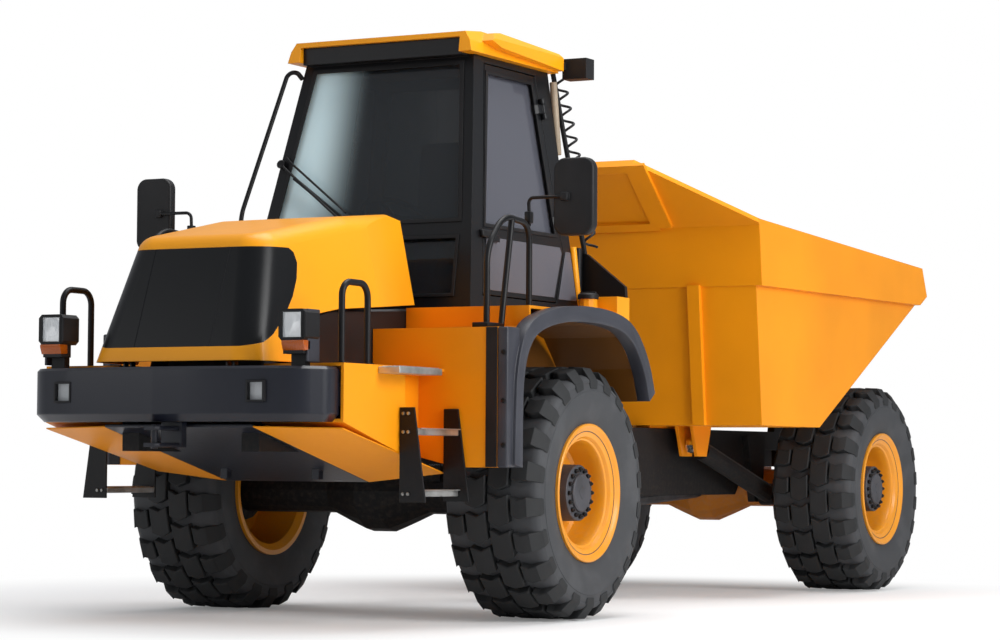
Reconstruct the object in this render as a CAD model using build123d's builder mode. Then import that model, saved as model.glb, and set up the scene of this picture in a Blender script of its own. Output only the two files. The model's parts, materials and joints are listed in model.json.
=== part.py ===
from build123d import *
import os
from math import asin, cos, hypot, pi, sin

# Two-axle articulated dump truck in millimetres.
# It faces -Y, its left side is +X, +Z is up and the floor is z = 0.
# Lengths along Y are measured from the front axle, and write() sets each piece in the part's frame.

# Overall
front_reach = 2185.0
wheelbase = 4240.0
tail_overhang = 810.0
tail_reach = wheelbase + tail_overhang
front_axle_y = (front_reach - tail_reach) / 2
half_width = 1250.0

# Clearances
seat_gap = 0.3
run_fit = 0.05
move_gap = 6.0

# Wheels
tyre_r = 660.0
tyre_width = 548.0
lug_count = 22
lug_depth = 30.0
lug_half = 50.0
rim_flange_r = 360.0
rim_seat_r = 318.0
rim_dish_r = 262.0
hub_r = 140.0
spindle_r = 45.0
wheel_sides = 22

# Articulation between the halves
hitch_y = 1840.0
hitch_z = 800.0
hitch_pin_r = 45.0
spigot_r = 110.0
spigot_root = 150.0
spigot_len = 290.0

# Front half: heights
deck_z = 1280.0
ledge_z = 1487.0
fender_z = 1610.0
bumper_low_z = 1000.0
bumper_top_z = 1260.0
rail_low_z = 860.0
rail_top_z = 1180.0

# Front half: lengths
bumper_front_y = 20.0 - front_reach
body_front_y = 335.0 - front_reach
niche_front_y = -1280.0
wall_y = -880.0
riser_y = -550.0

# Front half: half widths
rail_in = 300.0
rail_out = 400.0
niche_x = 720.0
body_half = 870.0
wall_half = 1172.0
sheet = 16.0

# Hood
hood_nose_half = 480.0
hood_rear_half = 609.0
hood_lean = 0.2
hood_low_z = 1290.0
hood_front_low_y = 145.0 - front_reach
hood_front_top_y = hood_front_low_y + 220
hood_front_top_z = 1905.0
hood_rear_y = -540.0
hood_rear_z = 2090.0
hood_wall = 25.0
hood_pin_y = hood_front_low_y + 60
hood_pin_z = 1325.0
hood_pin_r = 8.0
hood_hinge_x = 300.0

# Cab
cab_low_z = 1620.0
cab_top_z = 3000.0
cab_low_half = 708.0
cab_top_half = 528.5
cab_front_low_y = -343.0
cab_front_top_y = -1.3
cab_rear_low_y = 905.0
cab_rear_top_y = 848.6
cab_wall = 60.0
door_wall = 50.0
glass_inset = 24.0
glass_t = 8.0
roof_rise = 122.0
roof_top_z = cab_top_z + roof_rise
crown_rear_y = 870.0
hinge_out = 16.0
hinge_pin_r = 8.0

# Dump body
dump_half = 1200.0
dump_rail = 40.0
dump_wall = 30.0
dump_low_z = 1045.0
dump_ahead = 1910.0
dump_front_lean = 130.0
dump_front_low_y = wheelbase - dump_ahead
dump_front_top_y = dump_front_low_y - dump_front_lean
dump_top_z = 2262.0
band_low_z = 1870.0
guard_lean = 400.0
guard_top_y = dump_front_top_y - guard_lean
guard_top_z = 2600.0
guard_top_half = 610.0
rib_depth = 30.0
dump_floor_len = 900.0
floor_rear_y = dump_front_low_y + dump_floor_len
tail_z = 1955.0
tail_lean = 90.0
tail_top_y = tail_reach - tail_lean
tail_top_z = 2140.0
tip_behind = 310.0
tip_y = wheelbase + tip_behind
tip_z = 1200.0
tip_pin_r = 30.0
tow_bore_r = 20.0

# Cylinders
steer_foot_x = 330.0
steer_foot_y = hitch_y - 900.0
steer_eye_x = 250.0
steer_eye_y = hitch_y + 20.0
steer_z = 660.0
steer_pin_r = 20.0
tip_cylinder_x = 560.0
tip_foot_y = wheelbase - 310.0
tip_foot_z = 620.0
tip_eye_y = wheelbase - 1490.0
tip_eye_z = 930.0

os.makedirs("parts", exist_ok=True)


def write(piece, label):
    """Label a finished piece, set it in the part's frame and write it as one STEP file."""
    piece.part.label = label
    placed = piece.part.moved(Location((0, front_axle_y, 0)))
    placed.label = label
    export_step(placed, "parts/" + label + ".step")


def side_prism(points, x_low, x_high):
    """A prism along X over an outline of (y, z) points."""
    with BuildPart() as prism:
        with BuildSketch(Plane.YZ.offset(x_low)):
            with BuildLine():
                Polyline(*points, close=True)
            make_face()
        extrude(amount=x_high - x_low)
    return prism.part


def front_prism(points, y_low, y_high):
    """A prism along Y over an outline of (x, z) points."""
    with BuildPart() as prism:
        with BuildSketch(Plane.XZ.offset(-y_high)):
            with BuildLine():
                Polyline(*points, close=True)
            make_face()
        extrude(amount=y_high - y_low)
    return prism.part


def floor_prism(points, z_low, z_high):
    """A prism along Z over an outline of (x, y) points."""
    with BuildPart() as prism:
        with BuildSketch(Plane.XY.offset(z_low)):
            with BuildLine():
                Polyline(*points, close=True)
            make_face()
        extrude(amount=z_high - z_low)
    return prism.part


def block(x_low, x_high, y_low, y_high, z_low, z_high):
    """A plain box from its limits, standing alone."""
    with BuildPart() as box:
        with Locations(((x_low + x_high) / 2, (y_low + y_high) / 2, (z_low + z_high) / 2)):
            Box(x_high - x_low, y_high - y_low, z_high - z_low)
    return box.part


def rod(start, end, radius):
    """A round bar between two points."""
    along = Vector(end) - Vector(start)
    with BuildPart() as bar:
        with BuildSketch(Plane(origin=start, z_dir=along)):
            Circle(radius)
        extrude(amount=along.length)
    return bar.part


def solid_from_rings(rings, closed):
    """A solid with flat faces between rings of points, closed on itself or capped at its ends."""
    faces = []
    pairs = list(zip(rings, rings[1:]))
    if closed:
        pairs.append((rings[-1], rings[0]))
    else:
        faces += [Face(Wire.make_polygon(rings[0])), Face(Wire.make_polygon(rings[-1]))]
    for low, high in pairs:
        for i in range(len(low)):
            j = (i + 1) % len(low)
            faces.append(Face(Wire.make_polygon([low[i], low[j], high[j], high[i]])))
    return Solid(Shell(faces))


def turned(sections, sides, closed=False):
    """A faceted round body about Z through (z, radius) sections, each radius kept at the flats' middle."""
    corner = 1 / cos(pi / sides)
    rings = [
        [Vector(r * corner * cos(2 * pi * i / sides), r * corner * sin(2 * pi * i / sides), z)
         for i in range(sides)]
        for z, r in sections
    ]
    return solid_from_rings(rings, closed)


def bent_tube(points, radius, sides=8):
    """A faceted tube along a path, mitred at its corners."""
    path = [Vector(p) for p in points]
    heads = [(b - a).normalized() for a, b in zip(path, path[1:])]
    start = Plane(origin=path[0], z_dir=heads[0])
    ring = [
        start.from_local_coords(
            Vector(radius * cos(2 * pi * i / sides), radius * sin(2 * pi * i / sides), 0))
        for i in range(sides)
    ]
    rings = [ring]
    for k in range(1, len(path)):
        head = heads[k - 1]
        cut = head + heads[min(k, len(heads) - 1)]
        ring = [p + head * ((path[k] - p).dot(cut) / head.dot(cut)) for p in ring]
        rings.append(ring)
    return solid_from_rings(rings, False)


def eased(points, cut):
    """A path with each of its corners cut back on both sides."""
    path = [Vector(p) for p in points]
    eased_path = [path[0]]
    for before, corner, after in zip(path, path[1:], path[2:]):
        eased_path.append(corner + (before - corner).normalized() * cut)
        eased_path.append(corner + (after - corner).normalized() * cut)
    eased_path.append(path[-1])
    return eased_path


# Wheels: the tyre and rim forms are made once, about Z with +Z outwards
half_w = tyre_width / 2
lip = half_w - 13
bead = half_w - 33
tread_r = tyre_r - lug_depth
lug_top_r = (tyre_r ** 2 - lug_half ** 2) ** 0.5
lug_turn = asin(lug_half / tyre_r) * 180 / pi
disc_w = 20.0
wheel_mid_x = half_width - half_w
with BuildPart() as tyre_form:
    add(turned([
        (seat_gap - bead, rim_seat_r + seat_gap), (seat_gap - bead, rim_flange_r + seat_gap),
        (-half_w, 505), (-half_w + 36, tread_r - 4), (half_w - 36, tread_r - 4), (half_w, 505),
        (bead - seat_gap, rim_flange_r + seat_gap), (bead - seat_gap, rim_seat_r + seat_gap)],
        wheel_sides, closed=True))
    for side in (-1, 1):
        with BuildPart(mode=Mode.PRIVATE) as lug:
            with BuildSketch(Plane.XZ.offset(-lug_half)):
                with BuildLine():
                    Polyline(
                        (tread_r - 8, side * 10),
                        (lug_top_r, side * 10),
                        (lug_top_r, side * (half_w - 46)),
                        (tread_r - 46, side * (half_w - 3)),
                        close=True,
                    )
                make_face()
            extrude(amount=2 * lug_half)
        first = lug_turn + (0 if side > 0 else 180 / lug_count)
        with PolarLocations(0, lug_count, start_angle=first):
            add(lug.part)
with BuildPart() as rim_form:
    add(turned([
        (lip - 44, hub_r - 24), (lip - 60, hub_r), (disc_w + 30, hub_r), (disc_w + 30, rim_dish_r - 12),
        (disc_w + 50, rim_dish_r), (lip - 46, rim_dish_r + 6), (lip - 21, rim_flange_r - 60),
        (lip, rim_flange_r - 25), (lip, rim_flange_r), (lip - 20, rim_flange_r), (lip - 20, rim_seat_r),
        (20 - lip, rim_seat_r), (20 - lip, rim_flange_r), (-lip, rim_flange_r), (-lip, rim_flange_r - 25),
        (26 - lip, rim_seat_r - 18), (disc_w, rim_seat_r - 18), (disc_w, hub_r), (disc_w - 40, hub_r)],
        wheel_sides))
    with BuildSketch(Plane.XY.offset(disc_w - 60)):
        Circle(spindle_r + run_fit)
    extrude(amount=190, mode=Mode.SUBTRACT)

# place, side of the truck, distance from the front axle
wheel_places = [
    ("front_left", 1, 0.0),
    ("front_right", -1, 0.0),
    ("rear_left", 1, wheelbase),
    ("rear_right", -1, wheelbase),
]
for place, side, axle_y in wheel_places:
    wheel_plane = Plane(origin=(side * wheel_mid_x, axle_y, tyre_r), x_dir=(0, 0, -1), z_dir=(side, 0, 0))
    with BuildPart(wheel_plane) as tyre:
        add(tyre_form.part)
    write(tyre, "tyre_" + place)
    with BuildPart(wheel_plane) as rim:
        add(rim_form.part)
    write(rim, "rim_" + place)

# Front chassis: rails, cross members, outriggers, axle seats, cab posts, hitch ears and cylinder feet
rail_rear_y = 1480.0
ear_r = 130.0
ear_t = 50.0
yoke_low_z = hitch_z - 220.0
yoke_top_z = hitch_z + 220.0
axle_pad_top = tyre_r + 140.0
with BuildPart() as front_chassis:
    for side in (-1, 1):
        x_low = min(side * rail_in, side * rail_out)
        x_mid = side * (rail_in + rail_out) / 2
        add(block(x_low, x_low + rail_out - rail_in, body_front_y, rail_rear_y, rail_low_z, rail_top_z))
        add(block(x_low, x_low + rail_out - rail_in, -120, 120, axle_pad_top + seat_gap, rail_low_z + 5))
        for y in (-230, 740):
            add(block(x_mid - 35, x_mid + 35, y, y + 90, rail_top_z - 5, cab_low_z - seat_gap))
        add(block(side * steer_foot_x - 30, side * steer_foot_x + 30, steer_foot_y - 50, steer_foot_y + 50,
            steer_z + 50, rail_low_z + 5))
        with Locations((side * steer_foot_x, steer_foot_y, steer_z + 15)):
            Cylinder(steer_pin_r, 92)
        add(block(min(side * rail_in, side * 830), max(side * rail_in, side * 830), wall_y + seat_gap,
            wall_y + 60, 1000, rail_top_z))
    add(block(sheet + seat_gap - body_half, body_half - sheet - seat_gap, body_front_y, body_front_y + 80,
        1080, rail_top_z))
    add(block(-rail_in - 2, rail_in + 2, rail_rear_y - 100, rail_rear_y, rail_low_z, rail_top_z))
    for z in (yoke_low_z - move_gap - ear_t, yoke_top_z + move_gap):
        with BuildSketch(Plane.XY.offset(z)):
            with BuildLine():
                Polyline(
                    (-rail_in - 40, rail_rear_y - 120),
                    (rail_in + 40, rail_rear_y - 120),
                    (ear_r, hitch_y),
                    (-ear_r, hitch_y),
                    close=True,
                )
            make_face()
            with Locations((0, hitch_y)):
                RegularPolygon(ear_r, 16)
        extrude(amount=ear_t)
    add(block(-150, 150, rail_rear_y - 110, rail_rear_y - 50, yoke_low_z - move_gap - ear_t, rail_low_z + 5))
    with Locations((0, hitch_y, hitch_z)):
        Cylinder(hitch_pin_r + run_fit, 800, mode=Mode.SUBTRACT)
write(front_chassis, "front_chassis")

# Hitch: a block turning on the ears' pin, a spigot along Y for the rear half and the steering arms
with BuildPart() as hitch_block:
    with BuildSketch(Plane.XY.offset(yoke_low_z)):
        with Locations((0, hitch_y)):
            RegularPolygon(105, 16)
    extrude(amount=yoke_top_z - yoke_low_z)
    with Locations((0, hitch_y, hitch_z)):
        Cylinder(hitch_pin_r, yoke_top_z - yoke_low_z + 2 * (move_gap + ear_t))
    add(rod((0, hitch_y, hitch_z), (0, hitch_y + spigot_root, hitch_z), spigot_r + 30))
    add(rod((0, hitch_y, hitch_z), (0, hitch_y + spigot_root + spigot_len, hitch_z), spigot_r))
    add(block(-steer_eye_x - 45, steer_eye_x + 45, steer_eye_y - 35, steer_eye_y + 35, hitch_z - 85,
        hitch_z - 25))
    for side in (-1, 1):
        with BuildSketch(Plane.XY.offset(steer_z + 31)):
            with Locations((side * steer_eye_x, steer_eye_y)):
                RegularPolygon(40, 12)
        extrude(amount=hitch_z - 80 - steer_z - 31)
write(hitch_block, "hitch_block")

# Axles: beam, differential, brake drums, spindles and spring pads
axle_tube_r = 120.0
diff_r = 215.0
brake_r = 165.0
brake_x = wheel_mid_x + disc_w - 60
spindle_end = wheel_mid_x + disc_w + 122
for label, axle_y in (("front_axle", 0.0), ("rear_axle", wheelbase)):
    with BuildPart(Plane(origin=(0, axle_y, tyre_r), x_dir=(0, 1, 0), z_dir=(1, 0, 0))) as axle:
        add(turned([
            (-brake_x, brake_r), (40 - brake_x, brake_r), (60 - brake_x, axle_tube_r), (-300, axle_tube_r),
            (-170, 175), (-70, diff_r), (70, diff_r), (170, 175), (300, axle_tube_r),
            (brake_x - 60, axle_tube_r),
            (brake_x - 40, brake_r), (brake_x, brake_r)], 16))
        with Locations((0, 0, -spindle_end), (0, 0, brake_x - 10)):
            Cylinder(spindle_r, spindle_end - brake_x + 10, align=(Align.CENTER, Align.CENTER, Align.MIN))
        for side in (-1, 1):
            with Locations((0, 90, side * (rail_in + rail_out) / 2)):
                Box(220, 100, rail_out - rail_in)
    write(axle, label)

# Engine with its feet on the rails
with BuildPart() as engine_block:
    add(block(-270, 270, -1650, -650, 1000, 1700))
    for y in (-1500, -850):
        add(block(seat_gap - rail_in, rail_in - seat_gap, y, y + 80, 1090, 1150))
write(engine_block, "engine_block")

# Belly plate between the rails, rising to the bumper
belly_front_y = bumper_front_y + 210
belly_knee_y = -1300.0
belly_knee_z = 720.0
belly_front_z = bumper_low_z - sheet - seat_gap
with BuildPart() as belly_plate:
    add(side_prism([
        (belly_front_y, belly_front_z), (belly_knee_y, belly_knee_z), (wall_y, belly_knee_z),
        (wall_y, belly_knee_z + sheet), (belly_knee_y, belly_knee_z + sheet),
        (belly_front_y, belly_front_z + sheet)],
        -rail_in, rail_in))
    for side in (-1, 1):
        for y in (-1260, wall_y - 60):
            add(block(side * (rail_in - 25) - 20, side * (rail_in - 25) + 20, y, y + 50, belly_knee_z + 5,
                rail_low_z - seat_gap))
        add(block(side * (rail_in + 10) - 20, side * (rail_in + 10) + 20, -1260, -1210, rail_low_z - 60,
            rail_low_z - seat_gap))
write(belly_plate, "belly_plate")

# Bumper: bowed front, cut corners, lamp pockets, a pocket for the hood's edge and the hood's hinge lugs
lamp_x = 557.0
lamp_z = 1142.0
lamp_half = 48.0
bumper_half = body_half - 25
with BuildPart() as bumper:
    with BuildSketch(Plane.XY.offset(bumper_low_z)) as bow:
        with BuildLine():
            Polyline(
                (0, bumper_front_y), (300, bumper_front_y + 12), (lamp_x, bumper_front_y + 40),
                (bumper_half - 90, bumper_front_y + 90), (bumper_half, bumper_front_y + 215),
                (bumper_half, body_front_y - seat_gap), (0, body_front_y - seat_gap), close=True)
        make_face()
        mirror(about=Plane.YZ)
        for corner_x, radius in ((300, 3500), (lamp_x, 1200), (bumper_half - 90, 180), (bumper_half, 80)):
            corners = bow.vertices().filter_by(
                lambda v: abs(abs(v.X) - corner_x) < 1 and v.Y < body_front_y - 50)
            fillet(corners, radius)
    extrude(amount=bumper_top_z - bumper_low_z)
    outer = bumper.edges().filter_by(lambda e: e.center().Y < body_front_y - 10)
    chamfer(outer.filter_by(lambda e: e.center().Z < bumper_low_z + 1), 36)
    chamfer(outer.filter_by(lambda e: e.center().Z > bumper_top_z - 1), 14)
    add(block(-545, 545, bumper_front_y + 90, body_front_y - 40, bumper_top_z - 30, bumper_top_z + 10),
        mode=Mode.SUBTRACT)
    for side in (-1, 1):
        x = side * lamp_x
        add(block(x - lamp_half, x + lamp_half, bumper_front_y - 20, bumper_front_y + 105,
            lamp_z - lamp_half, lamp_z + lamp_half), mode=Mode.SUBTRACT)
        for ear_x in (side * hood_hinge_x - 24, side * hood_hinge_x + 16):
            add(side_prism([
                (hood_pin_y - 10, hood_pin_z + 12), (hood_pin_y - 10, hood_pin_z - 12),
                (hood_pin_y + 24, hood_pin_z - 40), (hood_pin_y + 24, bumper_top_z - 32),
                (hood_pin_y + 60, bumper_top_z - 32), (hood_pin_y + 60, hood_pin_z - 40),
                (hood_pin_y + 12, hood_pin_z + 12)], ear_x, ear_x + 8))
        pin_x = side * hood_hinge_x
        add(rod((pin_x - 22, hood_pin_y, hood_pin_z), (pin_x + 22, hood_pin_y, hood_pin_z), hood_pin_r))
write(bumper, "bumper")

# Tow clevis under the bumper, with its pin
clevis_y = bumper_front_y + 60.0
clevis_z = bumper_low_z - 72.0
clevis_gap = 60.0
clevis_pin_r = 16.0
with BuildPart() as tow_clevis:
    for z in (clevis_z - clevis_gap / 2 - 20, clevis_z + clevis_gap / 2):
        add(floor_prism([
            (-30, clevis_y - 85), (30, clevis_y - 85), (45, clevis_y - 60), (45, clevis_y + 140),
            (-45, clevis_y + 140), (-45, clevis_y - 60)], z, z + 20))
    pin_half = clevis_gap / 2 + 28
    pin_ends = [(0, clevis_y - 40, clevis_z - pin_half), (0, clevis_y - 40, clevis_z + pin_half)]
    add(bent_tube(pin_ends, clevis_pin_r, 12))
    add(block(-60, 60, clevis_y + 100, clevis_y + 140, clevis_z - 50, bumper_low_z - seat_gap))
write(tow_clevis, "tow_clevis")

# Wings: side panel, sloping underside, deck, ladder niche, wall, ledge, riser, fender top and arch liner
wing_in_x = 452.0
step_cut_x = body_half + 70
wall_low_z = 790.0
side_low_z = 1000.0
niche_low_z = 845.0
# arch outline over the front tyre as (y, z)
arch = [(-762, 1300), (-700, 1400), (-570, 1490), (-233, 1548), (219, 1543), (461, 1490), (623, 1324),
        (690, 1150)]


def arch_band(thick):
    """The wheel arch's outline as a closed band of one thickness, grown away from the axle."""
    grown = []
    for y, z in reversed(arch):
        reach = hypot(y, z - tyre_r)
        grown.append((y * (1 + thick / reach), tyre_r + (z - tyre_r) * (1 + thick / reach)))
    return arch + grown


with BuildPart() as wings:
    add(side_prism([
        (body_front_y, side_low_z), (niche_front_y, niche_low_z), (niche_front_y, deck_z),
        (body_front_y, deck_z)], body_half - sheet, body_half))
    add(side_prism([
        (body_front_y, side_low_z), (niche_front_y, niche_low_z), (niche_front_y, niche_low_z + sheet),
        (body_front_y, side_low_z + sheet)], rail_out + 2, body_half))
    add(block(rail_out + 22, body_half, body_front_y, wall_y, deck_z - sheet, deck_z))
    add(block(niche_x - sheet, niche_x, niche_front_y - sheet, wall_y, niche_low_z, deck_z))
    add(block(niche_x - sheet, body_half, niche_front_y - sheet, niche_front_y, niche_low_z, deck_z))
    add(front_prism([
        (wing_in_x, deck_z - sheet), (niche_x - sheet, deck_z - sheet), (niche_x - sheet, niche_low_z),
        (step_cut_x, wall_low_z), (wall_half, wall_low_z), (wall_half, ledge_z), (wing_in_x, ledge_z)],
        wall_y - sheet, wall_y))
    add(block(wing_in_x, wall_half, wall_y - sheet, riser_y, ledge_z - sheet, ledge_z))
    add(block(wing_in_x, wall_half, riser_y - sheet, riser_y, ledge_z - sheet, fender_z))
    add(block(cab_low_half + 10, wall_half, riser_y - sheet, 360, fender_z - sheet, fender_z))
    add(block(cab_low_half + 10 - sheet, cab_low_half + 10, riser_y - sheet, 640, 1300, fender_z))
    add(side_prism(arch_band(sheet), cab_low_half, wall_half))
    mirror(about=Plane.YZ)
write(wings, "wings")

# Mudguards: an arched box over each front tyre's outer edge with a straight leg at the front
with BuildPart() as mudguards:
    add(side_prism(arch_band(82), wall_half + seat_gap, half_width - 2))
    add(block(wall_half + seat_gap, half_width - 2, wall_y - 20, -766, wall_low_z, ledge_z))
    mirror(about=Plane.YZ)
write(mudguards, "mudguards")

# Hood's rear corners: three points of the plane that cuts each away
hood_cut = [(545, -740, 1400), (420, -900, 2050), (488, hood_rear_y, 1621)]


def hood_block(inset):
    """The hood's rounded outer form, moved inwards by inset."""
    rings = []
    for z in (hood_low_z, hood_rear_z + 30):
        drawn_in = hood_lean * (z - hood_low_z) + inset
        nose_x = hood_nose_half - drawn_in
        rear_x = hood_rear_half - drawn_in
        front_y = hood_front_low_y - 50
        rings.append([
            Vector(nose_x, front_y, z), Vector(rear_x, hood_rear_y, z), Vector(-rear_x, hood_rear_y, z),
            Vector(-nose_x, front_y, z)])
    with BuildPart() as form:
        add(solid_from_rings(rings, False))
        add(side_prism([
            (hood_front_low_y + inset, hood_low_z), (hood_front_top_y + inset, hood_front_top_z - inset),
            (-1090, 2045 - inset), (-660, hood_rear_z - inset), (hood_rear_y, hood_rear_z - 22 - inset),
            (hood_rear_y, hood_low_z)], -700, 700), mode=Mode.INTERSECT)
        upright = form.edges().filter_by(
            lambda e: e.center().Y < hood_front_top_y + 70 and abs(e.center().X) > 300)
        fillet(upright, 150 - inset)
        roof = form.edges().filter_by(
            lambda e: e.center().Z > 1800 and e.center().Y < hood_rear_y - 20 and abs(e.center().X) > 100)
        fillet(roof, 100 - inset)
        for side in (-1, 1):
            low, high, rear = [Vector(side * x, y, z) for x, y, z in hood_cut]
            outward = (high - low).cross(rear - low).normalized() * -side
            split(bisect_by=Plane(origin=low - outward * inset, z_dir=outward), keep=Keep.BOTTOM)
    return form.part


# Hood: shell with its low edge stepped up behind, its rear corners cut away and ears for its hinge
grille_outline = [
    (hood_front_low_y + along, z) for along, z in (
        (-260, 1358), (30, 1358), (115, 1378), (190, 1420), (300, 1510), (390, 1610), (445, 1700),
        (470, 1780), (455, 1830), (420, 1850), (-260, 1835))]
hood_step = [(hood_front_low_y + 440, hood_low_z - 10), (hood_front_low_y + 540, 1530),
             (hood_front_low_y + 750, 1567), (hood_rear_y + 10, 1626),
             (hood_rear_y + 10, hood_low_z - 10)]
grille_t = 12.0
hood_outer = hood_block(0)
with BuildPart() as hood:
    add(hood_outer)
    add(hood_block(hood_wall), mode=Mode.SUBTRACT)
    add(side_prism(hood_step, -700, 700), mode=Mode.SUBTRACT)
    with BuildPart(mode=Mode.PRIVATE) as recess:
        add(side_prism(grille_outline, -700, 700))
        add(hood_block(grille_t), mode=Mode.SUBTRACT)
    add(recess.part, mode=Mode.SUBTRACT)
    for side in (-1, 1):
        x = side * hood_hinge_x
        add(side_prism([
            (hood_pin_y - 38, 1300), (hood_pin_y + 6, 1304), (hood_pin_y + 20, hood_pin_z),
            (hood_pin_y + 6, 1346), (hood_pin_y - 18, 1356)], x - 12, x + 12))
        with BuildSketch(Plane.YZ.offset(x - 15)):
            with Locations((hood_pin_y, hood_pin_z)):
                Circle(hood_pin_r + run_fit)
        extrude(amount=30, mode=Mode.SUBTRACT)
write(hood, "hood")

# Grille wrapped round the hood's nose
with BuildPart() as hood_grille:
    add(hood_outer)
    add(side_prism(grille_outline, -700, 700), mode=Mode.INTERSECT)
    add(hood_block(grille_t - seat_gap), mode=Mode.SUBTRACT)
write(hood_grille, "hood_grille")

# Side covers beside the engine, under the hood's edge
with BuildPart() as engine_sides:
    add(side_prism([
        (-1560, deck_z + seat_gap), (-1470, 1518), (-1290, 1555), (hood_rear_y - 12, 1593),
        (hood_rear_y - 12, deck_z + seat_gap)], 432, 448))
    mirror(about=Plane.YZ)
write(engine_sides, "engine_sides")

# Lamps: headlamps on posts over the bumper, square bumper lamps and a work lamp behind the roof
head_x = 700.0
head_y = bumper_front_y + 125
head_z = 1453.0
with BuildPart() as lamps:
    add(block(head_x - 75, head_x + 75, head_y, head_y + 127, head_z - 74, head_z + 74))
    chamfer(lamps.edges().filter_by(Axis.Y), 18)
    add(block(head_x - 52, head_x + 52, head_y - 5, head_y + 12, head_z - 62, head_z + 62),
        mode=Mode.SUBTRACT)
    add(block(head_x - 55, head_x + 55, head_y + 12, head_y + 90, head_z - 136, head_z - 70))
    add(block(head_x - 40, head_x + 40, head_y + 60, head_y + 100, bumper_top_z + seat_gap, head_z - 100))
    mirror(about=Plane.YZ)
    add(block(590, 740, crown_rear_y + 40, crown_rear_y + 140, roof_top_z - 154,
        roof_top_z - 39))
    add(block(580, 612, crown_rear_y + seat_gap, crown_rear_y + 60, roof_top_z - 100,
        roof_top_z - 60))
write(lamps, "lamps")

# Clear lenses of the headlamps and of the bumper lamps
with BuildPart() as lamp_glass:
    add(block(head_x - 51.7, head_x + 51.7, head_y + 2, head_y + 12 - seat_gap, head_z - 61.7,
        head_z + 61.7))
    lens = lamp_half - seat_gap
    add(block(lamp_x - lens, lamp_x + lens, -2108, -2060 - seat_gap, lamp_z - lens, lamp_z + lens))
    mirror(about=Plane.YZ)
write(lamp_glass, "lamp_glass")

# Handrails: a hoop on the deck and a grab rail with the mirror's arm on the ledge, each side
deck_rail_x = 819.0
grab_x = 1050.0
tube_r = 16.0
arm_r = 9.0
mirror_x = 1306.0
mirror_y = -360.0
mirror_z = 2175.0
deck_hoop = [
    (deck_rail_x, body_front_y + 60, deck_z + seat_gap), (deck_rail_x, body_front_y + 60, 1668),
    (deck_rail_x, body_front_y + 294, 1668), (deck_rail_x, body_front_y + 294, deck_z + seat_gap)]
grab_hoop = [
    (grab_x, -790, ledge_z + seat_gap), (grab_x, -790, 1890), (grab_x, -620, 2065), (grab_x, -340, 2040),
    (grab_x, -340, fender_z + seat_gap)]
grab_leg = [(grab_x, -530, 2050), (grab_x, -620, 1600), (grab_x, -640, 1530),
            (grab_x, -640, ledge_z + seat_gap)]
mirror_arm = [
    (grab_x, mirror_y + 20, 2020), (grab_x, mirror_y + 10, mirror_z), (grab_x + 60, mirror_y, mirror_z),
    (mirror_x - 40, mirror_y, mirror_z)]
with BuildPart() as handrails:
    for side in (-1, 1):
        for path, radius in ((eased(deck_hoop, 35), tube_r), (eased(grab_hoop, 30), tube_r),
                             ([Vector(p) for p in grab_leg], tube_r), (eased(mirror_arm, 20), arm_r)):
            add(bent_tube([(side * p.X, p.Y, p.Z) for p in path], radius))
write(handrails, "handrails")

# Mirrors: rounded housings with a blind socket for the arm
with BuildPart() as mirrors:
    for side in (-1, 1):
        with Locations((side * mirror_x, mirror_y + 40, mirror_z)):
            Box(230, 60, 400)
    chamfer(mirrors.edges().filter_by(Axis.Y), 32)
    for side in (-1, 1):
        with Locations((side * (mirror_x - 44), mirror_y, mirror_z)):
            Box(44, 30, 44)
        add(rod((side * (mirror_x - 70), mirror_y, mirror_z), (side * (mirror_x - 40), mirror_y, mirror_z),
            arm_r + run_fit), mode=Mode.SUBTRACT)
write(mirrors, "mirrors")

# Ladders: side plates, treads and a plank in each niche
ladder_front_y = -1338.0
ladder_rear_y = -908.0
plate_t = 12.0
with BuildPart() as ladders:
    for y in (ladder_front_y, ladder_rear_y):
        add(front_prism([
            (body_half + 3, 1080), (body_half + 85, 1080), (body_half + 150, 620), (body_half + 3, 620)],
            y, y + plate_t))
        add(block(body_half + seat_gap, body_half + 70, y, y + plate_t, 1000, deck_z - 12))
    for z in (660, 960):
        add(block(body_half + 5, body_half + 130, ladder_front_y + 5, ladder_rear_y + 5, z - 15, z + 15))
    add(block(body_half + seat_gap, body_half + 120, -1540, ladder_rear_y + 5, deck_z - 40, deck_z - 10))
    mirror(about=Plane.YZ)
write(ladders, "ladders")


def cab_block(inset):
    """The cab's leaning envelope, moved inwards by inset."""
    with BuildPart() as form:
        add(side_prism([
            (cab_front_low_y + inset, cab_low_z), (cab_front_top_y + inset, cab_top_z),
            (cab_rear_top_y - inset, cab_top_z), (cab_rear_low_y - inset, cab_low_z)], -800, 800))
        add(front_prism([
            (inset - cab_low_half, cab_low_z), (inset - cab_top_half, cab_top_z),
            (cab_top_half - inset, cab_top_z), (cab_low_half - inset, cab_low_z)], -800, 1200),
            mode=Mode.INTERSECT)
    return form.part


def grown(outline, gap):
    """An outline about its own middle, grown by gap along both axes."""
    mid_a = (min(a for a, b in outline) + max(a for a, b in outline)) / 2
    mid_b = (min(b for a, b in outline) + max(b for a, b in outline)) / 2
    return [(a + (gap if a > mid_a else -gap), b + (gap if b > mid_b else -gap)) for a, b in outline]


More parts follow.
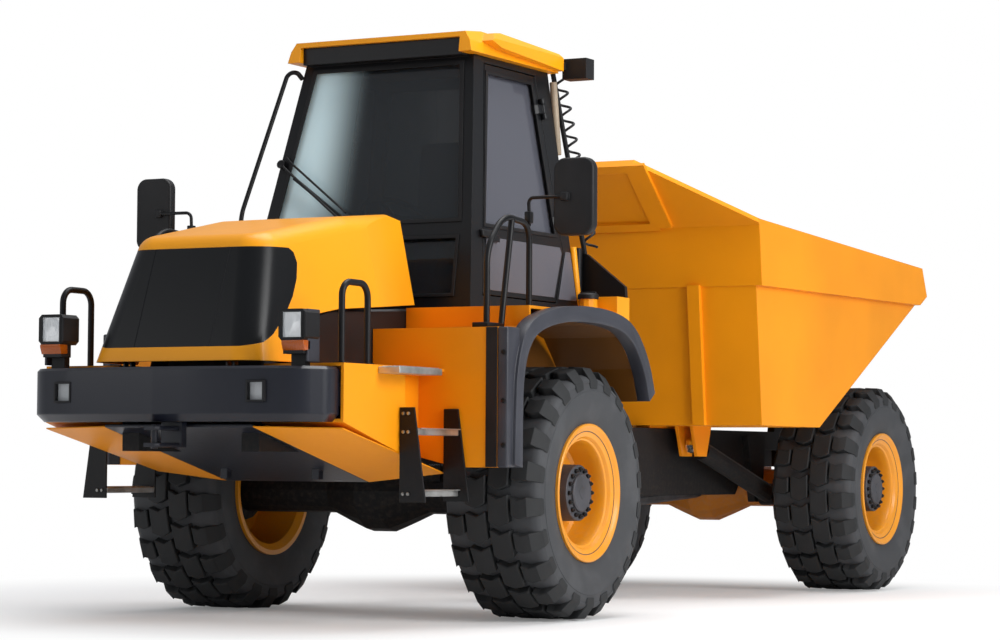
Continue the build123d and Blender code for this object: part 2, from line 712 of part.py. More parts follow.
# Window outlines: front and rear ones as (x, z), side ones as (y, z)
windshield = [(-588, 2080), (-474, cab_top_z - 32), (474, cab_top_z - 32), (588, 2080)]
low_screen = [(-600, 1680), (-585, 2010), (585, 2010), (600, 1680)]
rear_screen = [(-560, 2080), (-465, cab_top_z - 60), (465, cab_top_z - 60), (560, 2080)]
right_screen = [(-110, 2060), (103, cab_top_z - 60), (686, cab_top_z - 60), (780, 2060)]
door_screen = [(-105, 2060), (108, cab_top_z - 74), (646, cab_top_z - 74), (730, 2060)]
door_outline = [
    (-192, 1697), (106, cab_top_z - 42), (680, cab_top_z - 42), (778, 2050), (793, 1984), (636, 1697)]
cab_outer = cab_block(0)
hinge_low = Vector(651.3 + hinge_out, 794, 2050)
hinge_high = Vector(538.5 + hinge_out, 699, 2920)
hinge_axis = (hinge_high - hinge_low).normalized()
knuckles = [hinge_low + hinge_axis * 110, hinge_low + hinge_axis * 740]


def hinge_plane(knuckle, offset):
    """A plane across the door's hinge axis, its x towards the door's front edge and its y outwards."""
    return Plane(origin=knuckle + hinge_axis * offset, x_dir=(0, -1, 0), z_dir=hinge_axis)


# Cab frame: floor, pillars, sills and the fascia under the roof's front edge, with its openings
# and the fixed half of the door's hinges
fascia_half = 500.0
fascia_front_y = -82.0
fascia_rear_y = 20.0
fascia_top_z = roof_top_z - 40
with BuildPart() as cab_frame:
    add(cab_outer)
    with BuildPart(mode=Mode.PRIVATE) as room:
        add(cab_block(cab_wall))
        add(block(-900, 900, -800, 1200, cab_low_z - 10, cab_low_z + 50), mode=Mode.SUBTRACT)
    add(room.part, mode=Mode.SUBTRACT)
    add(side_prism(grown(door_outline, 7), 0, 900), mode=Mode.SUBTRACT)
    add(side_prism(right_screen, -900, 0), mode=Mode.SUBTRACT)
    for outline in (windshield, low_screen):
        add(front_prism(outline, -800, 200), mode=Mode.SUBTRACT)
    add(front_prism(rear_screen, 600, 1200), mode=Mode.SUBTRACT)
    add(block(-fascia_half, fascia_half, fascia_front_y, fascia_rear_y, cab_top_z - 10,
        fascia_top_z - seat_gap))
    for knuckle in knuckles:
        for offset in (-58, 28):
            with BuildSketch(hinge_plane(knuckle, offset)):
                Circle(17)
                with BuildLine():
                    Polyline((-40, -22), (5, -22), (5, 0), (-40, -10), close=True)
                make_face()
            extrude(amount=30)
        with BuildSketch(hinge_plane(knuckle, -50)):
            Circle(hinge_pin_r)
        extrude(amount=100)
write(cab_frame, "cab_frame")

pane_outer = cab_block(glass_inset)
pane_inner = cab_block(glass_inset + glass_t)


def pane(cutter):
    """A window pane: the slice of the cab's glass shell inside one cutter."""
    with BuildPart() as piece:
        add(pane_outer)
        add(pane_inner, mode=Mode.SUBTRACT)
        add(cutter, mode=Mode.INTERSECT)
    return piece.part


with BuildPart() as cab_glass:
    add(pane(front_prism(grown(windshield, -seat_gap), -800, 200)))
    add(pane(front_prism(grown(low_screen, -seat_gap), -800, 200)))
    add(pane(front_prism(grown(rear_screen, -seat_gap), 600, 1200)))
    add(pane(side_prism(grown(right_screen, -seat_gap), -900, 0)))
write(cab_glass, "cab_glass")

# Door: leaning panel with its window, handle and hinge knuckles; its pane
with BuildPart() as door:
    add(cab_outer)
    add(cab_block(door_wall), mode=Mode.SUBTRACT)
    add(side_prism(door_outline, 0, 900), mode=Mode.INTERSECT)
    add(side_prism(door_screen, 0, 900), mode=Mode.SUBTRACT)
    add(block(640, 682, -70, 20, 1985, 2020))
    for knuckle in knuckles:
        with BuildSketch(hinge_plane(knuckle, -25)):
            Circle(15)
            with BuildLine():
                Polyline((0, -11), (22, -11), (22, -24), (80, -24), (80, -12), (60, 2), (0, 2), close=True)
            make_face()
            Circle(hinge_pin_r + run_fit, mode=Mode.SUBTRACT)
        extrude(amount=50)
write(door, "door")
with BuildPart() as door_glass:
    add(pane(side_prism(grown(door_screen, -seat_gap), 0, 900)))
write(door_glass, "door_glass")

# Roof: a cap with tapered cheeks and a wider crown behind
with BuildPart() as cab_roof:
    add(side_prism([
        (-120, cab_top_z + seat_gap), (-104, roof_top_z - 12), (100, roof_top_z + 13),
        (800, roof_top_z - 15), (860, roof_top_z - 50), (890, cab_top_z + seat_gap)], -700, 700))
    add(front_prism([
        (-578, cab_top_z), (-562, roof_top_z - 60), (-510, roof_top_z + 20), (510, roof_top_z + 20),
        (562, roof_top_z - 60),
        (578, cab_top_z)], -200, 950), mode=Mode.INTERSECT)
    add(block(-fascia_half - seat_gap, fascia_half + seat_gap, -300, fascia_rear_y + seat_gap,
        cab_top_z - 10, fascia_top_z), mode=Mode.SUBTRACT)
    with BuildPart(mode=Mode.PRIVATE) as crown:
        add(side_prism([
            (40, roof_top_z - 50), (110, roof_top_z), (200, roof_top_z + 13), (840, roof_top_z - 20),
            (crown_rear_y, roof_top_z - 45), (crown_rear_y, cab_top_z + 8), (150, roof_top_z - 78)],
            -700, 700))
        add(front_prism([
            (-620, cab_top_z), (-620, roof_top_z - 37), (-570, roof_top_z + 20), (570, roof_top_z + 20),
            (620, roof_top_z - 37), (620, cab_top_z)], 0, 950), mode=Mode.INTERSECT)
    add(crown.part)
write(cab_roof, "cab_roof")

# Inside the cab: seat, console with the steering column, steering wheel
with BuildPart() as seat:
    add(block(-150, 150, 330, 630, cab_low_z + 50 + seat_gap, 1925))
    add(block(-240, 240, 300, 700, 1900, 2025))
    add(side_prism([(640, 2000), (740, 2000), (790, 2620), (710, 2630)], -230, 230))
write(seat, "seat")
wheel_y = 85.0
wheel_z = 2140.0
wheel_tilt = Vector(0, 0.46, 0.888)
with BuildPart() as console:
    console_low_z = cab_low_z + 50 + seat_gap
    add(side_prism([(-200, console_low_z), (-20, console_low_z), (10, 1980), (-90, 2000)],
        -380, 380))
    add(bent_tube([(0, wheel_y - 90, wheel_z - 180), Vector(0, wheel_y, wheel_z) - wheel_tilt * 16], 28))
write(console, "console")
with BuildPart(Plane(origin=(0, wheel_y, wheel_z), z_dir=wheel_tilt)) as steering_wheel:
    add(turned([(-12, 178), (-12, 206), (12, 206), (12, 178)], 16, closed=True))
    Box(370, 36, 16)
    Cylinder(34, 30)
write(steering_wheel, "steering_wheel")

# Behind the cab: tank with its filler, corner post, bracket, strut and the coiled hose beside it
with BuildPart() as tank:
    add(block(720, 930, 770, 1085, 1230, 1640))
    add(block(720, 930, 930, 1085, 1630, 1740))
    with BuildSketch(Plane.XY.offset(1635)):
        with Locations((790, 850)):
            RegularPolygon(52, 12)
    extrude(amount=95)
    add(block(rail_out + seat_gap, 730, 900, 980, rail_top_z - 60, 1300))
write(tank, "tank")
strut_low = Vector(672, 1040, 1990)
strut_high = Vector(516, 930, roof_top_z - 92)
coil_r = 42.0
coil_shift = Vector(12.6, 59, 0)
with BuildPart() as rear_strut:
    add(bent_tube([strut_low, strut_high], 15))
    add(front_prism([(600, 2000), (690, 1990), (930, 1800), (935, 1740 + seat_gap), (600, 1740 + seat_gap)],
        1025, 1055))
    add(rod((655, 985, 1740 + seat_gap), (655, 985, 2020), 26))
    add(block(620, 690, 960, 1030, 1740 + seat_gap, 1760))
write(rear_strut, "rear_strut")
with BuildPart() as coil_hose:
    coil_low = strut_low + coil_shift + Vector(0, 0, 30)
    coil_high = strut_high + coil_shift - Vector(0, 0, 30)
    add(bent_tube([coil_low, coil_high], coil_r, 12))
write(coil_hose, "coil_hose")

# Rear chassis: rails, cross members, spigot housing, axle pads, tipping pivots and cylinder feet
rear_rail_in = 330.0
rear_rail_out = 450.0
rear_rail_low_z = 620.0
rear_rail_top_z = 1030.0
rear_rail_front_y = hitch_y + 170.0
rear_rail_rear_y = tip_y + 150.0
housing_low_y = hitch_y + spigot_root + 5
housing_high_y = hitch_y + spigot_root + spigot_len - 5
with BuildPart() as rear_chassis:
    for side in (-1, 1):
        x_low = min(side * rear_rail_in, side * rear_rail_out)
        add(side_prism([
            (rear_rail_front_y, hitch_z - 120), (rear_rail_front_y, rear_rail_top_z),
            (rear_rail_rear_y, rear_rail_top_z), (rear_rail_rear_y, rear_rail_top_z - 200),
            (wheelbase + 330, 910), (wheelbase - 330, 910), (wheelbase - 600, rear_rail_low_z),
            (rear_rail_front_y + 300, rear_rail_low_z)],
            x_low, x_low + rear_rail_out - rear_rail_in))
        add(side_prism([
            (tip_y - 120, rear_rail_top_z - 1), (tip_y + 120, rear_rail_top_z - 1), (tip_y + 60, tip_z + 60),
            (tip_y - 60, tip_z + 60)], side * 360 - 25, side * 360 + 25))
        add(block(side * 350 - 50, side * 350 + 50, wheelbase - 110, wheelbase + 110,
            axle_pad_top + seat_gap, 915))
        add(side_prism([
            (wheelbase - 500, 1000), (wheelbase - 200, 1000), (tip_foot_y + 60, 570),
            (tip_foot_y - 60, 570)],
            min(side * 440, side * 490), max(side * 440, side * 490)))
        add(rod((side * 445, tip_foot_y, tip_foot_z), (side * 618, tip_foot_y, tip_foot_z), tip_pin_r))
    for y in (rear_rail_front_y + 60, wheelbase - 750, rear_rail_rear_y - 60):
        add(block(-rear_rail_in - 2, rear_rail_in + 2, y - 50, y + 50, rear_rail_top_z - 230,
            rear_rail_top_z - 30))
    add(rod((0, housing_low_y, hitch_z), (0, housing_high_y, hitch_z), spigot_r + 60))
    add(block(-rear_rail_in - 2, rear_rail_in + 2, hitch_y + 230, hitch_y + 370, hitch_z - 150,
        hitch_z + 150))
    add(rod((0, hitch_y + 50, hitch_z), (0, hitch_y + 600, hitch_z), spigot_r + run_fit), mode=Mode.SUBTRACT)
    for side in (-1, 1):
        add(rod((side * 330, tip_y, tip_z), (side * 390, tip_y, tip_z), tip_pin_r + run_fit),
            mode=Mode.SUBTRACT)
    add(floor_prism([
        (-80, rear_rail_rear_y - 20), (80, rear_rail_rear_y - 20), (50, rear_rail_rear_y + 70),
        (-50, rear_rail_rear_y + 70)], rear_rail_top_z - 160, rear_rail_top_z - 120))
    with Locations((0, rear_rail_rear_y + 30, rear_rail_top_z - 140)):
        Cylinder(tow_bore_r, 80, mode=Mode.SUBTRACT)
write(rear_chassis, "rear_chassis")

# Propeller shaft under the rear frame, in line with the axle's nose
shaft_y = hitch_y + 490
with BuildPart() as propshaft:
    add(bent_tube([(0, shaft_y, 560), (0, wheelbase - 220, tyre_r - 20)], 50))
    add(block(-90, 90, shaft_y, shaft_y + 70, 500, 640))
    add(block(seat_gap - rear_rail_in, rear_rail_in - seat_gap, shaft_y + 10, shaft_y + 70, 630, 690))
write(propshaft, "propshaft")

# Dump body: floor, tail slope, sides with a top band, headboard, spill guard, ribs, pivots and cylinder ears
guard_rise = guard_top_z - dump_top_z
guard_run = dump_front_top_y - guard_top_y
guard_len = hypot(guard_rise, guard_run)
with BuildPart() as dump_body:
    add(side_prism([
        (dump_front_low_y, dump_low_z), (dump_front_top_y, dump_top_z), (tail_top_y, tail_top_z),
        (tail_reach, tail_z), (floor_rear_y, dump_low_z)], -dump_half, dump_half))
    add(side_prism([
        (dump_front_low_y - 94, band_low_z), (dump_front_top_y - 8, dump_top_z), (tail_top_y, tail_top_z),
        (tail_reach, tail_z), (tail_reach - 130, 1890)], -dump_half - dump_rail, dump_half + dump_rail))
    for x_low, x_high in ((-840, -760), (760, 840), (-60, 60)):
        add(side_prism([
            (dump_front_low_y - rib_depth, dump_low_z), (dump_front_top_y + 12, band_low_z + 10),
            (dump_front_top_y + 80, band_low_z + 10), (dump_front_low_y + 10, dump_low_z)], x_low, x_high))
    add(side_prism([
        (dump_front_low_y + dump_wall, dump_low_z + dump_wall),
        (dump_front_top_y + dump_wall, dump_top_z + 50), (tail_reach + 300, tail_z + 500),
        (tail_reach + 300, tail_z + 190), (floor_rear_y - 10, dump_low_z + dump_wall)],
        dump_wall - dump_half, dump_half - dump_wall), mode=Mode.SUBTRACT)
    guard_plane = Plane(
        origin=(0, dump_front_top_y, dump_top_z), x_dir=(1, 0, 0), z_dir=(0, -guard_rise, -guard_run))
    with BuildSketch(guard_plane):
        with BuildLine():
            Polyline(
                (-dump_half - dump_rail, -35), (dump_half + dump_rail, -35), (dump_half + dump_rail, 0),
                (guard_top_half, guard_len), (-guard_top_half, guard_len), (-dump_half - dump_rail, 0),
                close=True)
        make_face()
    extrude(amount=dump_wall)
    with BuildSketch(guard_plane.offset(dump_wall)):
        for x in (-620, 620):
            with Locations((x, guard_len / 2)):
                Rectangle(130, guard_len)
        with Locations((0, guard_len - 30), (0, 10)):
            Rectangle(2 * guard_top_half - 10, 60)
    extrude(amount=rib_depth - 8)
    for side in (-1, 1):
        x_low = min(side * 270, side * 320)
        add(side_prism([
            (tip_y - 110, 1680), (tip_y + 110, 1790), (tip_y + 55, tip_z - 55), (tip_y - 55, tip_z - 55)],
            x_low, x_low + 50))
        add(rod((side * 300, tip_y, tip_z), (side * 420, tip_y, tip_z), tip_pin_r))
        add(block(side * 390 - 45, side * 390 + 45, dump_front_low_y + 60, floor_rear_y - 20,
            rear_rail_top_z + seat_gap, dump_low_z + 5))
        for x in (tip_cylinder_x - 50, tip_cylinder_x + 50):
            add(side_prism([
                (tip_eye_y - 140, dump_low_z + 5), (tip_eye_y + 140, dump_low_z + 5), (tip_eye_y + 70, 860),
                (tip_eye_y - 70, 860)], side * x - 10, side * x + 10))
write(dump_body, "dump_body")

# Steering cylinders: barrel pinned to the front chassis, rod with its eye under the hitch's arm
steer_barrel_r = 42.0
steer_rod_r = 22.0
steer_barrel_len = 640.0
steer_rod_start = 380.0
for place, side in (("left", 1), ("right", -1)):
    foot = Vector(side * steer_foot_x, steer_foot_y, steer_z)
    eye = Vector(side * steer_eye_x, steer_eye_y, steer_z)
    along = (eye - foot).normalized()
    with BuildPart() as barrel:
        add(bent_tube([foot, foot + along * steer_barrel_len], steer_barrel_r, 12))
        with BuildSketch(Plane.XY.offset(steer_z - 20)):
            with Locations((foot.X, foot.Y)):
                RegularPolygon(52, 12)
        extrude(amount=40)
        add(rod(foot + along * 60, foot + along * (steer_barrel_len + 5), steer_rod_r + run_fit),
            mode=Mode.SUBTRACT)
        add(rod(foot - Vector(0, 0, 60), foot + Vector(0, 0, 60), steer_pin_r + run_fit), mode=Mode.SUBTRACT)
    write(barrel, "steer_barrel_" + place)
    with BuildPart() as piston_rod:
        add(rod(foot + along * steer_rod_start, eye, steer_rod_r))
        with BuildSketch(Plane.XY.offset(steer_z - 25)):
            with Locations((eye.X, eye.Y)):
                RegularPolygon(38, 12)
        extrude(amount=50)
    write(piston_rod, "steer_rod_" + place)

# Tipping cylinders: barrels pinned outside the rear rails, rods reaching the dump body's ears
tip_barrel_r = 60.0
tip_rod_r = 35.0
with BuildPart() as tip_barrels:
    for side in (-1, 1):
        foot = Vector(side * tip_cylinder_x, tip_foot_y, tip_foot_z)
        eye = Vector(side * tip_cylinder_x, tip_eye_y, tip_eye_z)
        along = (eye - foot).normalized()
        reach = (eye - foot).length
        add(bent_tube([foot, foot + along * (reach - 120)], tip_barrel_r, 12))
        with BuildSketch(Plane.YZ.offset(side * tip_cylinder_x - 50)):
            with Locations((foot.Y, foot.Z)):
                RegularPolygon(70, 12)
        extrude(amount=100)
        add(rod(foot + along * 90, eye, tip_rod_r + run_fit), mode=Mode.SUBTRACT)
        add(rod(foot - Vector(60, 0, 0), foot + Vector(60, 0, 0), tip_pin_r + run_fit), mode=Mode.SUBTRACT)
write(tip_barrels, "tip_barrels")
with BuildPart() as tip_rods:
    for side in (-1, 1):
        foot = Vector(side * tip_cylinder_x, tip_foot_y, tip_foot_z)
        eye = Vector(side * tip_cylinder_x, tip_eye_y, tip_eye_z)
        along = (eye - foot).normalized()
        add(rod(foot + along * 130, eye, tip_rod_r))
        with BuildSketch(Plane.YZ.offset(side * tip_cylinder_x - 30)):
            with Locations((eye.Y, eye.Z)):
                RegularPolygon(50, 12)
        extrude(amount=60)
write(tip_rods, "tip_rods")
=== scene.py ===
import json
import logging
import math
from dataclasses import dataclass, field
from enum import Enum
from typing import Callable, Iterable, Optional, Sequence

import bmesh
import bpy
from mathutils import Matrix, Quaternion, Vector

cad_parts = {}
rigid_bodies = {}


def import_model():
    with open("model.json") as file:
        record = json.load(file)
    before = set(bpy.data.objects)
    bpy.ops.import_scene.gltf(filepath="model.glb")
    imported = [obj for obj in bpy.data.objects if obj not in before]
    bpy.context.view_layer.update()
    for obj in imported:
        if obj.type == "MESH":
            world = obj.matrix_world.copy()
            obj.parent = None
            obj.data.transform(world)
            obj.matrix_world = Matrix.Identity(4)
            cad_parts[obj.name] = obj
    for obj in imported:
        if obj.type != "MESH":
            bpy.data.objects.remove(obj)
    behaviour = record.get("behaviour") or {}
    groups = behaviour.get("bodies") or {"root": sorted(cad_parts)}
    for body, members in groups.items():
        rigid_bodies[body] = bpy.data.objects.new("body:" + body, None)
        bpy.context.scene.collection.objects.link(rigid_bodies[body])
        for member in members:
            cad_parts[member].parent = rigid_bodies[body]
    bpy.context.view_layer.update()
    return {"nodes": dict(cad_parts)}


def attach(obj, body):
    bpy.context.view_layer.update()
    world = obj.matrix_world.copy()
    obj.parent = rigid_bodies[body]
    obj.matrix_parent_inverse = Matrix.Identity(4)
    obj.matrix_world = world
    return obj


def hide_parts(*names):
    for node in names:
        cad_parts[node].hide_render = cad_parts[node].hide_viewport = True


LOG = logging.getLogger("dump_truck")

# The front axle in the shared frame, in metres.
FRONT_AXLE_Y = -1.4325
AXLE_Z = 0.660
# Pieces are drawn in millimetres, along Y from the front axle and up from the floor.
METRE = 0.001
WHEELBASE = 4240.0
CAB_FLOOR = 1620.0
# The cab's leaning side and front: the place at the cab's floor and the lean.
CAB_SIDE, CAB_FRONT = (708.0, -0.130072), (-343.0, 0.247609)
# Corners of one piece nearer than this many millimetres are merged.
MERGE = 0.01
# Grains of moulded plastic in a metre.
GRAIN = 420.0
# The painted shade in the front wheels' wells: limits of the squared distance from the axle, in square
# metres.
WELL_NEAR, WELL_CORNER, WELL_FAR = (0.80, 0.86), (1.00, 1.05), (1.06, 1.12)
# The ledge above the axle, corner's end and front wall of the painted shade in the wells, in metres from the
# axle.
WELL_LEDGE, WELL_END, WELL_WALL = (0.78, 0.80), (-0.45, -0.40), (-0.885, -0.870)

Point = Sequence[float]
Outline = Sequence[tuple[float, float]]
Colour = tuple[float, float, float]
DUST: Colour = (0.36, 0.28, 0.19)
# The colour of the painted shade in the front wheels' wells.
WELL_SHADE: Colour = (0.020, 0.012, 0.008)
WHITE = (1.0, 1.0, 1.0, 1.0)


class Body(Enum):
    """The bodies that pieces ride on, beside the wheels."""

    FRONT = "front_frame"
    DOOR = "door"


class Across(Enum):
    """The direction in which a prism is drawn out."""

    X = 0
    Y = 1
    Z = 2


# Shader building


class Field:
    """A shader socket that takes part in Python arithmetic."""

    def __init__(self, graph: "Graph", socket: bpy.types.NodeSocket) -> None:
        """Wraps one output socket of a graph."""
        self.graph = graph
        self.socket = socket

    def _maths(self, operation: str, other: "Field | float", flipped: bool = False) -> "Field":
        """Adds one Math node, with the two values the other way round if flipped."""
        pair = (other, self) if flipped else (self, other)
        return self.graph.node("ShaderNodeMath", {"operation": operation}, {0: pair[0], 1: pair[1]})

    def __add__(self, other: "Field | float") -> "Field":
        """Adds."""
        return self._maths("ADD", other)

    def __radd__(self, other: float) -> "Field":
        """Adds from the right."""
        return self._maths("ADD", other)

    def __sub__(self, other: "Field | float") -> "Field":
        """Subtracts."""
        return self._maths("SUBTRACT", other)

    def __rsub__(self, other: float) -> "Field":
        """Subtracts this field from a number."""
        return self._maths("SUBTRACT", other, True)

    def __mul__(self, other: "Field | float") -> "Field":
        """Multiplies."""
        return self._maths("MULTIPLY", other)

    def __rmul__(self, other: float) -> "Field":
        """Multiplies from the right."""
        return self._maths("MULTIPLY", other)

    def between(self, low: float, high: float) -> "Field":
        """A smooth step from 0 at low to 1 at high."""
        return self.graph.node("ShaderNodeMapRange", {"interpolation_type": "SMOOTHSTEP"},
                               {"Value": self, "From Min": low, "From Max": high})


class Graph:
    """The nodes of one material or world."""

    def __init__(self, owner: str | bpy.types.World) -> None:
        """Empties the owner's nodes.

        Args:
            owner: A world, or the name of a new material.
        """
        self.owner = bpy.data.materials.new(owner) if isinstance(owner, str) else owner
        self.owner.use_nodes = True
        self.tree = self.owner.node_tree
        self.tree.nodes.clear()

    def node(self, kind: str, settings: Optional[dict] = None, sockets: Optional[dict] = None,
             out: int | str = 0) -> Optional[Field]:
        """Adds a node of any kind.

        Args:
            kind: The node's type.
            settings: Its properties.
            sockets: Values or fields for its inputs, by name or index.
            out: The output that is returned.

        Returns:
            That output as a field, or None where the node has none.
        """
        made = self.tree.nodes.new(kind)
        for key, value in (settings or {}).items():
            setattr(made, key, value)
        for key, value in (sockets or {}).items():
            if isinstance(value, Field):
                self.tree.links.new(value.socket, made.inputs[key])
            else:
                made.inputs[key].default_value = value
        return Field(self, made.outputs[out]) if made.outputs else None

    def place(self) -> Field:
        """Object coordinates, which are the truck's own metres."""
        return self.node("ShaderNodeTexCoord", out="Object")

    def noise(self, scale: float, detail: float = 4.0, roughness: float = 0.5) -> Field:
        """Noise from 0 to 1 over the object; scale is in waves per metre, detail in finer octaves."""
        return self.node("ShaderNodeTexNoise", None,
                         {"Vector": self.place(), "Scale": scale, "Detail": detail, "Roughness": roughness})

    def wave(self, direction: str, scale: float) -> Field:
        """Waves across the object along X or Z."""
        return self.node("ShaderNodeTexWave", {"bands_direction": direction},
                         {"Vector": self.place(), "Scale": scale})

    def part_of(self, vector: Field, axis: str) -> Field:
        """One component, X, Y or Z, of a vector field."""
        return self.node("ShaderNodeSeparateXYZ", None, {0: vector}, axis)

    def mix(self, low: "Colour | Field", high: "Colour | Field", share: "Field | float") -> Field:
        """Mixes two colours, with share as how much of the second."""
        ends = [c if isinstance(c, Field) else (*c, 1.0) for c in (low, high)]
        return self.node("ShaderNodeMix", {"data_type": "RGBA"}, {0: share, 6: ends[0], 7: ends[1]}, 2)

    def bump(self, height: Field, strength: float, distance: float, normal: Optional[Field] = None) -> Field:
        """Turns a height field into a normal.

        Args:
            height: The height, from 0 to 1.
            strength: The Bump node's strength.
            distance: The height of 1 in metres.
            normal: A normal to build on.

        Returns:
            The normal as a field.
        """
        under = {} if normal is None else {"Normal": normal}
        return self.node("ShaderNodeBump", None,
                         {"Height": height, "Strength": strength, "Distance": distance, **under})

    def rounded(self, radius: float) -> Field:
        """A normal that rounds the edges by that radius in metres."""
        return self.node("ShaderNodeBevel", {"samples": 4}, {"Radius": radius})

    def surface(self, **sockets: object) -> bpy.types.Material:
        """Ends the material with a Principled shader.

        Args:
            **sockets: Its inputs, with underscores for spaces in their names.

        Returns:
            The finished material.
        """
        named = {key.replace("_", " "): value for key, value in sockets.items()}
        shader = self.node("ShaderNodeBsdfPrincipled", None, named)
        self.node("ShaderNodeOutputMaterial", None, {"Surface": shader})
        return self.owner


# Finishes


@dataclass(frozen=True)
class Finish:
    """What every finish has; each kind builds its own material."""

    name: str
    colour: Colour

    def times(self, factor: float) -> Colour:
        """The colour times a factor."""
        return tuple(c * factor for c in self.colour)

    def build(self) -> bpy.types.Material:
        """The finish's material."""
        raise NotImplementedError


@dataclass(frozen=True)
class Paint(Finish):
    """Sprayed paint with a faint orange peel, dust on its ledges, rounded edges and, where asked for, painted
    shade in the front wheels' wells.
    """

    roughness: float = 0.32
    coat: float = 0.35
    dust: float = 0.10
    edge: float = 0.004
    shine: float = 0.5
    # How strongly the front wheels' wells are darkened with painted shade.
    well_shade: float = 0.0

    def _well_shade(self, g: Graph, up: Field) -> Field:
        """How much painted shade a point gets inside the front wheels' wells, from 0 to 1.

        Args:
            g: The material's graph.
            up: The surface's upward part.

        Returns:
            The share, which also counts faces that look down a little further out.
        """
        behind = g.part_of(g.place(), "Y") - FRONT_AXLE_Y
        over = g.part_of(g.place(), "Z") - AXLE_Z
        square = behind * behind + over * over
        near = 1.0 - square.between(*WELL_NEAR)
        under = (up * -1.0).between(0.1, 0.4) * (1.0 - square.between(*WELL_FAR))
        corner = (1.0 - square.between(*WELL_CORNER)) * (1.0 - over.between(*WELL_LEDGE))
        corner = corner * (1.0 - behind.between(*WELL_END))
        clear = (1.0 - near) * (1.0 - under) * (1.0 - corner)
        return (1.0 - clear) * behind.between(*WELL_WALL)

    def build(self) -> bpy.types.Material:
        """Builds the paint.

        Returns:
            Its material.
        """
        g = Graph(self.name)
        cloud = g.noise(0.9, 3.0)
        fine = g.noise(38.0, 5.0, 0.6)
        up = g.part_of(g.node("ShaderNodeNewGeometry", out="Normal"), "Z")
        height = g.part_of(g.place(), "Z")
        shade = g.mix(self.times(0.86), self.colour, cloud.between(0.3, 0.65))
        ledge = up.between(0.5, 1.0) * fine.between(0.35, 0.8) * self.dust
        low = (1.0 - height.between(0.35, 1.3)) * fine.between(0.4, 0.75) * (self.dust * 1.5)
        dusty = ledge + low
        tint = g.mix(shade, DUST, dusty)
        # Painted shade: darkens the paint inside the front wheels' wells.
        if self.well_shade:
            tint = g.mix(tint, WELL_SHADE, self._well_shade(g, up) * self.well_shade)
        rough = self.roughness + dusty * 0.5 + fine * 0.06
        peel = g.bump(g.noise(260.0, 2.0), 0.08, 0.0006, g.rounded(self.edge))
        return g.surface(Base_Color=tint, Roughness=rough, Coat_Weight=self.coat,
                         Coat_Roughness=0.12, Specular_IOR_Level=self.shine, Normal=peel)


@dataclass(frozen=True)
class Moulded(Finish):
    """Moulded plastic with a leather-like grain."""

    roughness: float = 0.5
    depth: float = 0.25
    edge: float = 0.003
    shine: float = 0.5

    def build(self) -> bpy.types.Material:
        """Builds the plastic.

        Returns:
            Its material.
        """
        g = Graph(self.name)
        patch = g.noise(3.0, 3.0)
        cells = g.node("ShaderNodeTexVoronoi", {"feature": "SMOOTH_F1"},
                       {"Vector": g.place(), "Scale": GRAIN})
        pale = tuple(min(1.0, c * 1.25 + 0.006) for c in self.colour)
        tint = g.mix(self.colour, pale, patch.between(0.35, 0.7))
        rough = self.roughness - 0.05 + patch * 0.12
        return g.surface(Base_Color=tint, Roughness=rough, Specular_IOR_Level=self.shine,
                         Normal=g.bump(cells, self.depth, 0.0008, g.rounded(self.edge)))


@dataclass(frozen=True)
class Rubber(Finish):
    """Tyre rubber with pale scuffed patches."""

    scuff: Colour

    def build(self) -> bpy.types.Material:
        """Builds the rubber.

        Returns:
            Its material.
        """
        g = Graph(self.name)
        grain = g.noise(160.0, 4.0, 0.6)
        patch = g.noise(6.0, 4.0)
        tint = g.mix(self.colour, self.scuff, patch.between(0.42, 0.75) * 0.55)
        return g.surface(Base_Color=tint, Roughness=0.62 + patch * 0.2,
                         Normal=g.bump(grain, 0.25, 0.0012, g.rounded(0.004)))


@dataclass(frozen=True)
class Steel(Finish):
    """Bare, cast or plated metal with brushed or pitted roughness."""

    roughness: float = 0.4
    metallic: float = 1.0
    pitting: float = 0.3

    def build(self) -> bpy.types.Material:
        """Builds the metal.

        Returns:
            Its material.
        """
        g = Graph(self.name)
        pits = g.noise(90.0, 6.0, 0.6)
        stain = g.noise(7.0, 4.0)
        tint = g.mix(self.times(0.6), self.colour, stain.between(0.3, 0.6))
        return g.surface(Base_Color=tint, Roughness=self.roughness + stain * 0.12, Metallic=self.metallic,
                         Normal=g.bump(pits, self.pitting, 0.0008, g.rounded(0.002)))


@dataclass(frozen=True)
class Pane(Finish):
    """Tinted safety glass with a painted reflection: paler, bluer and nearly opaque towards one side."""

    # The colour of the painted reflection towards one side.
    pale: Colour
    alpha: float
    reflection_alpha: float = 0.96
    reflection_x: float = -0.42
    full_x: float = -0.10

    def build(self) -> bpy.types.Material:
        """Builds the glass.

        Returns:
            Its material.
        """
        g = Graph(self.name)
        # Painted reflection: towards negative X the glass fades to the pale, nearly opaque colour.
        across = g.part_of(g.place(), "X").between(self.reflection_x, self.full_x)
        alpha = self.reflection_alpha - across * (self.reflection_alpha - self.alpha)
        return g.surface(Base_Color=g.mix(self.pale, self.colour, across), Roughness=0.03,
                         Alpha=alpha, IOR=1.5)


@dataclass(frozen=True)
class Lens(Finish):
    """A lamp's moulded lens with vertical flutes."""

    alpha: float
    flutes: float = 160.0

    def build(self) -> bpy.types.Material:
        """Builds the lens.

        Returns:
            Its material.
        """
        g = Graph(self.name)
        return g.surface(Base_Color=(*self.colour, 1.0), Roughness=0.08, Alpha=self.alpha, IOR=1.5,
                         Normal=g.bump(g.wave("X", self.flutes / 6.0), 0.35, 0.002))


@dataclass(frozen=True)
class Weave(Finish):
    """Woven seat cloth."""

    def build(self) -> bpy.types.Material:
        """Builds the cloth.

        Returns:
            Its material.
        """
        g = Graph(self.name)
        threads = g.wave("X", 90.0) * g.wave("Z", 90.0)
        tint = g.mix(self.colour, self.times(1.8), threads)
        return g.surface(Base_Color=tint, Roughness=0.9, Sheen_Weight=0.3, Normal=g.bump(threads, 0.4, 0.001))


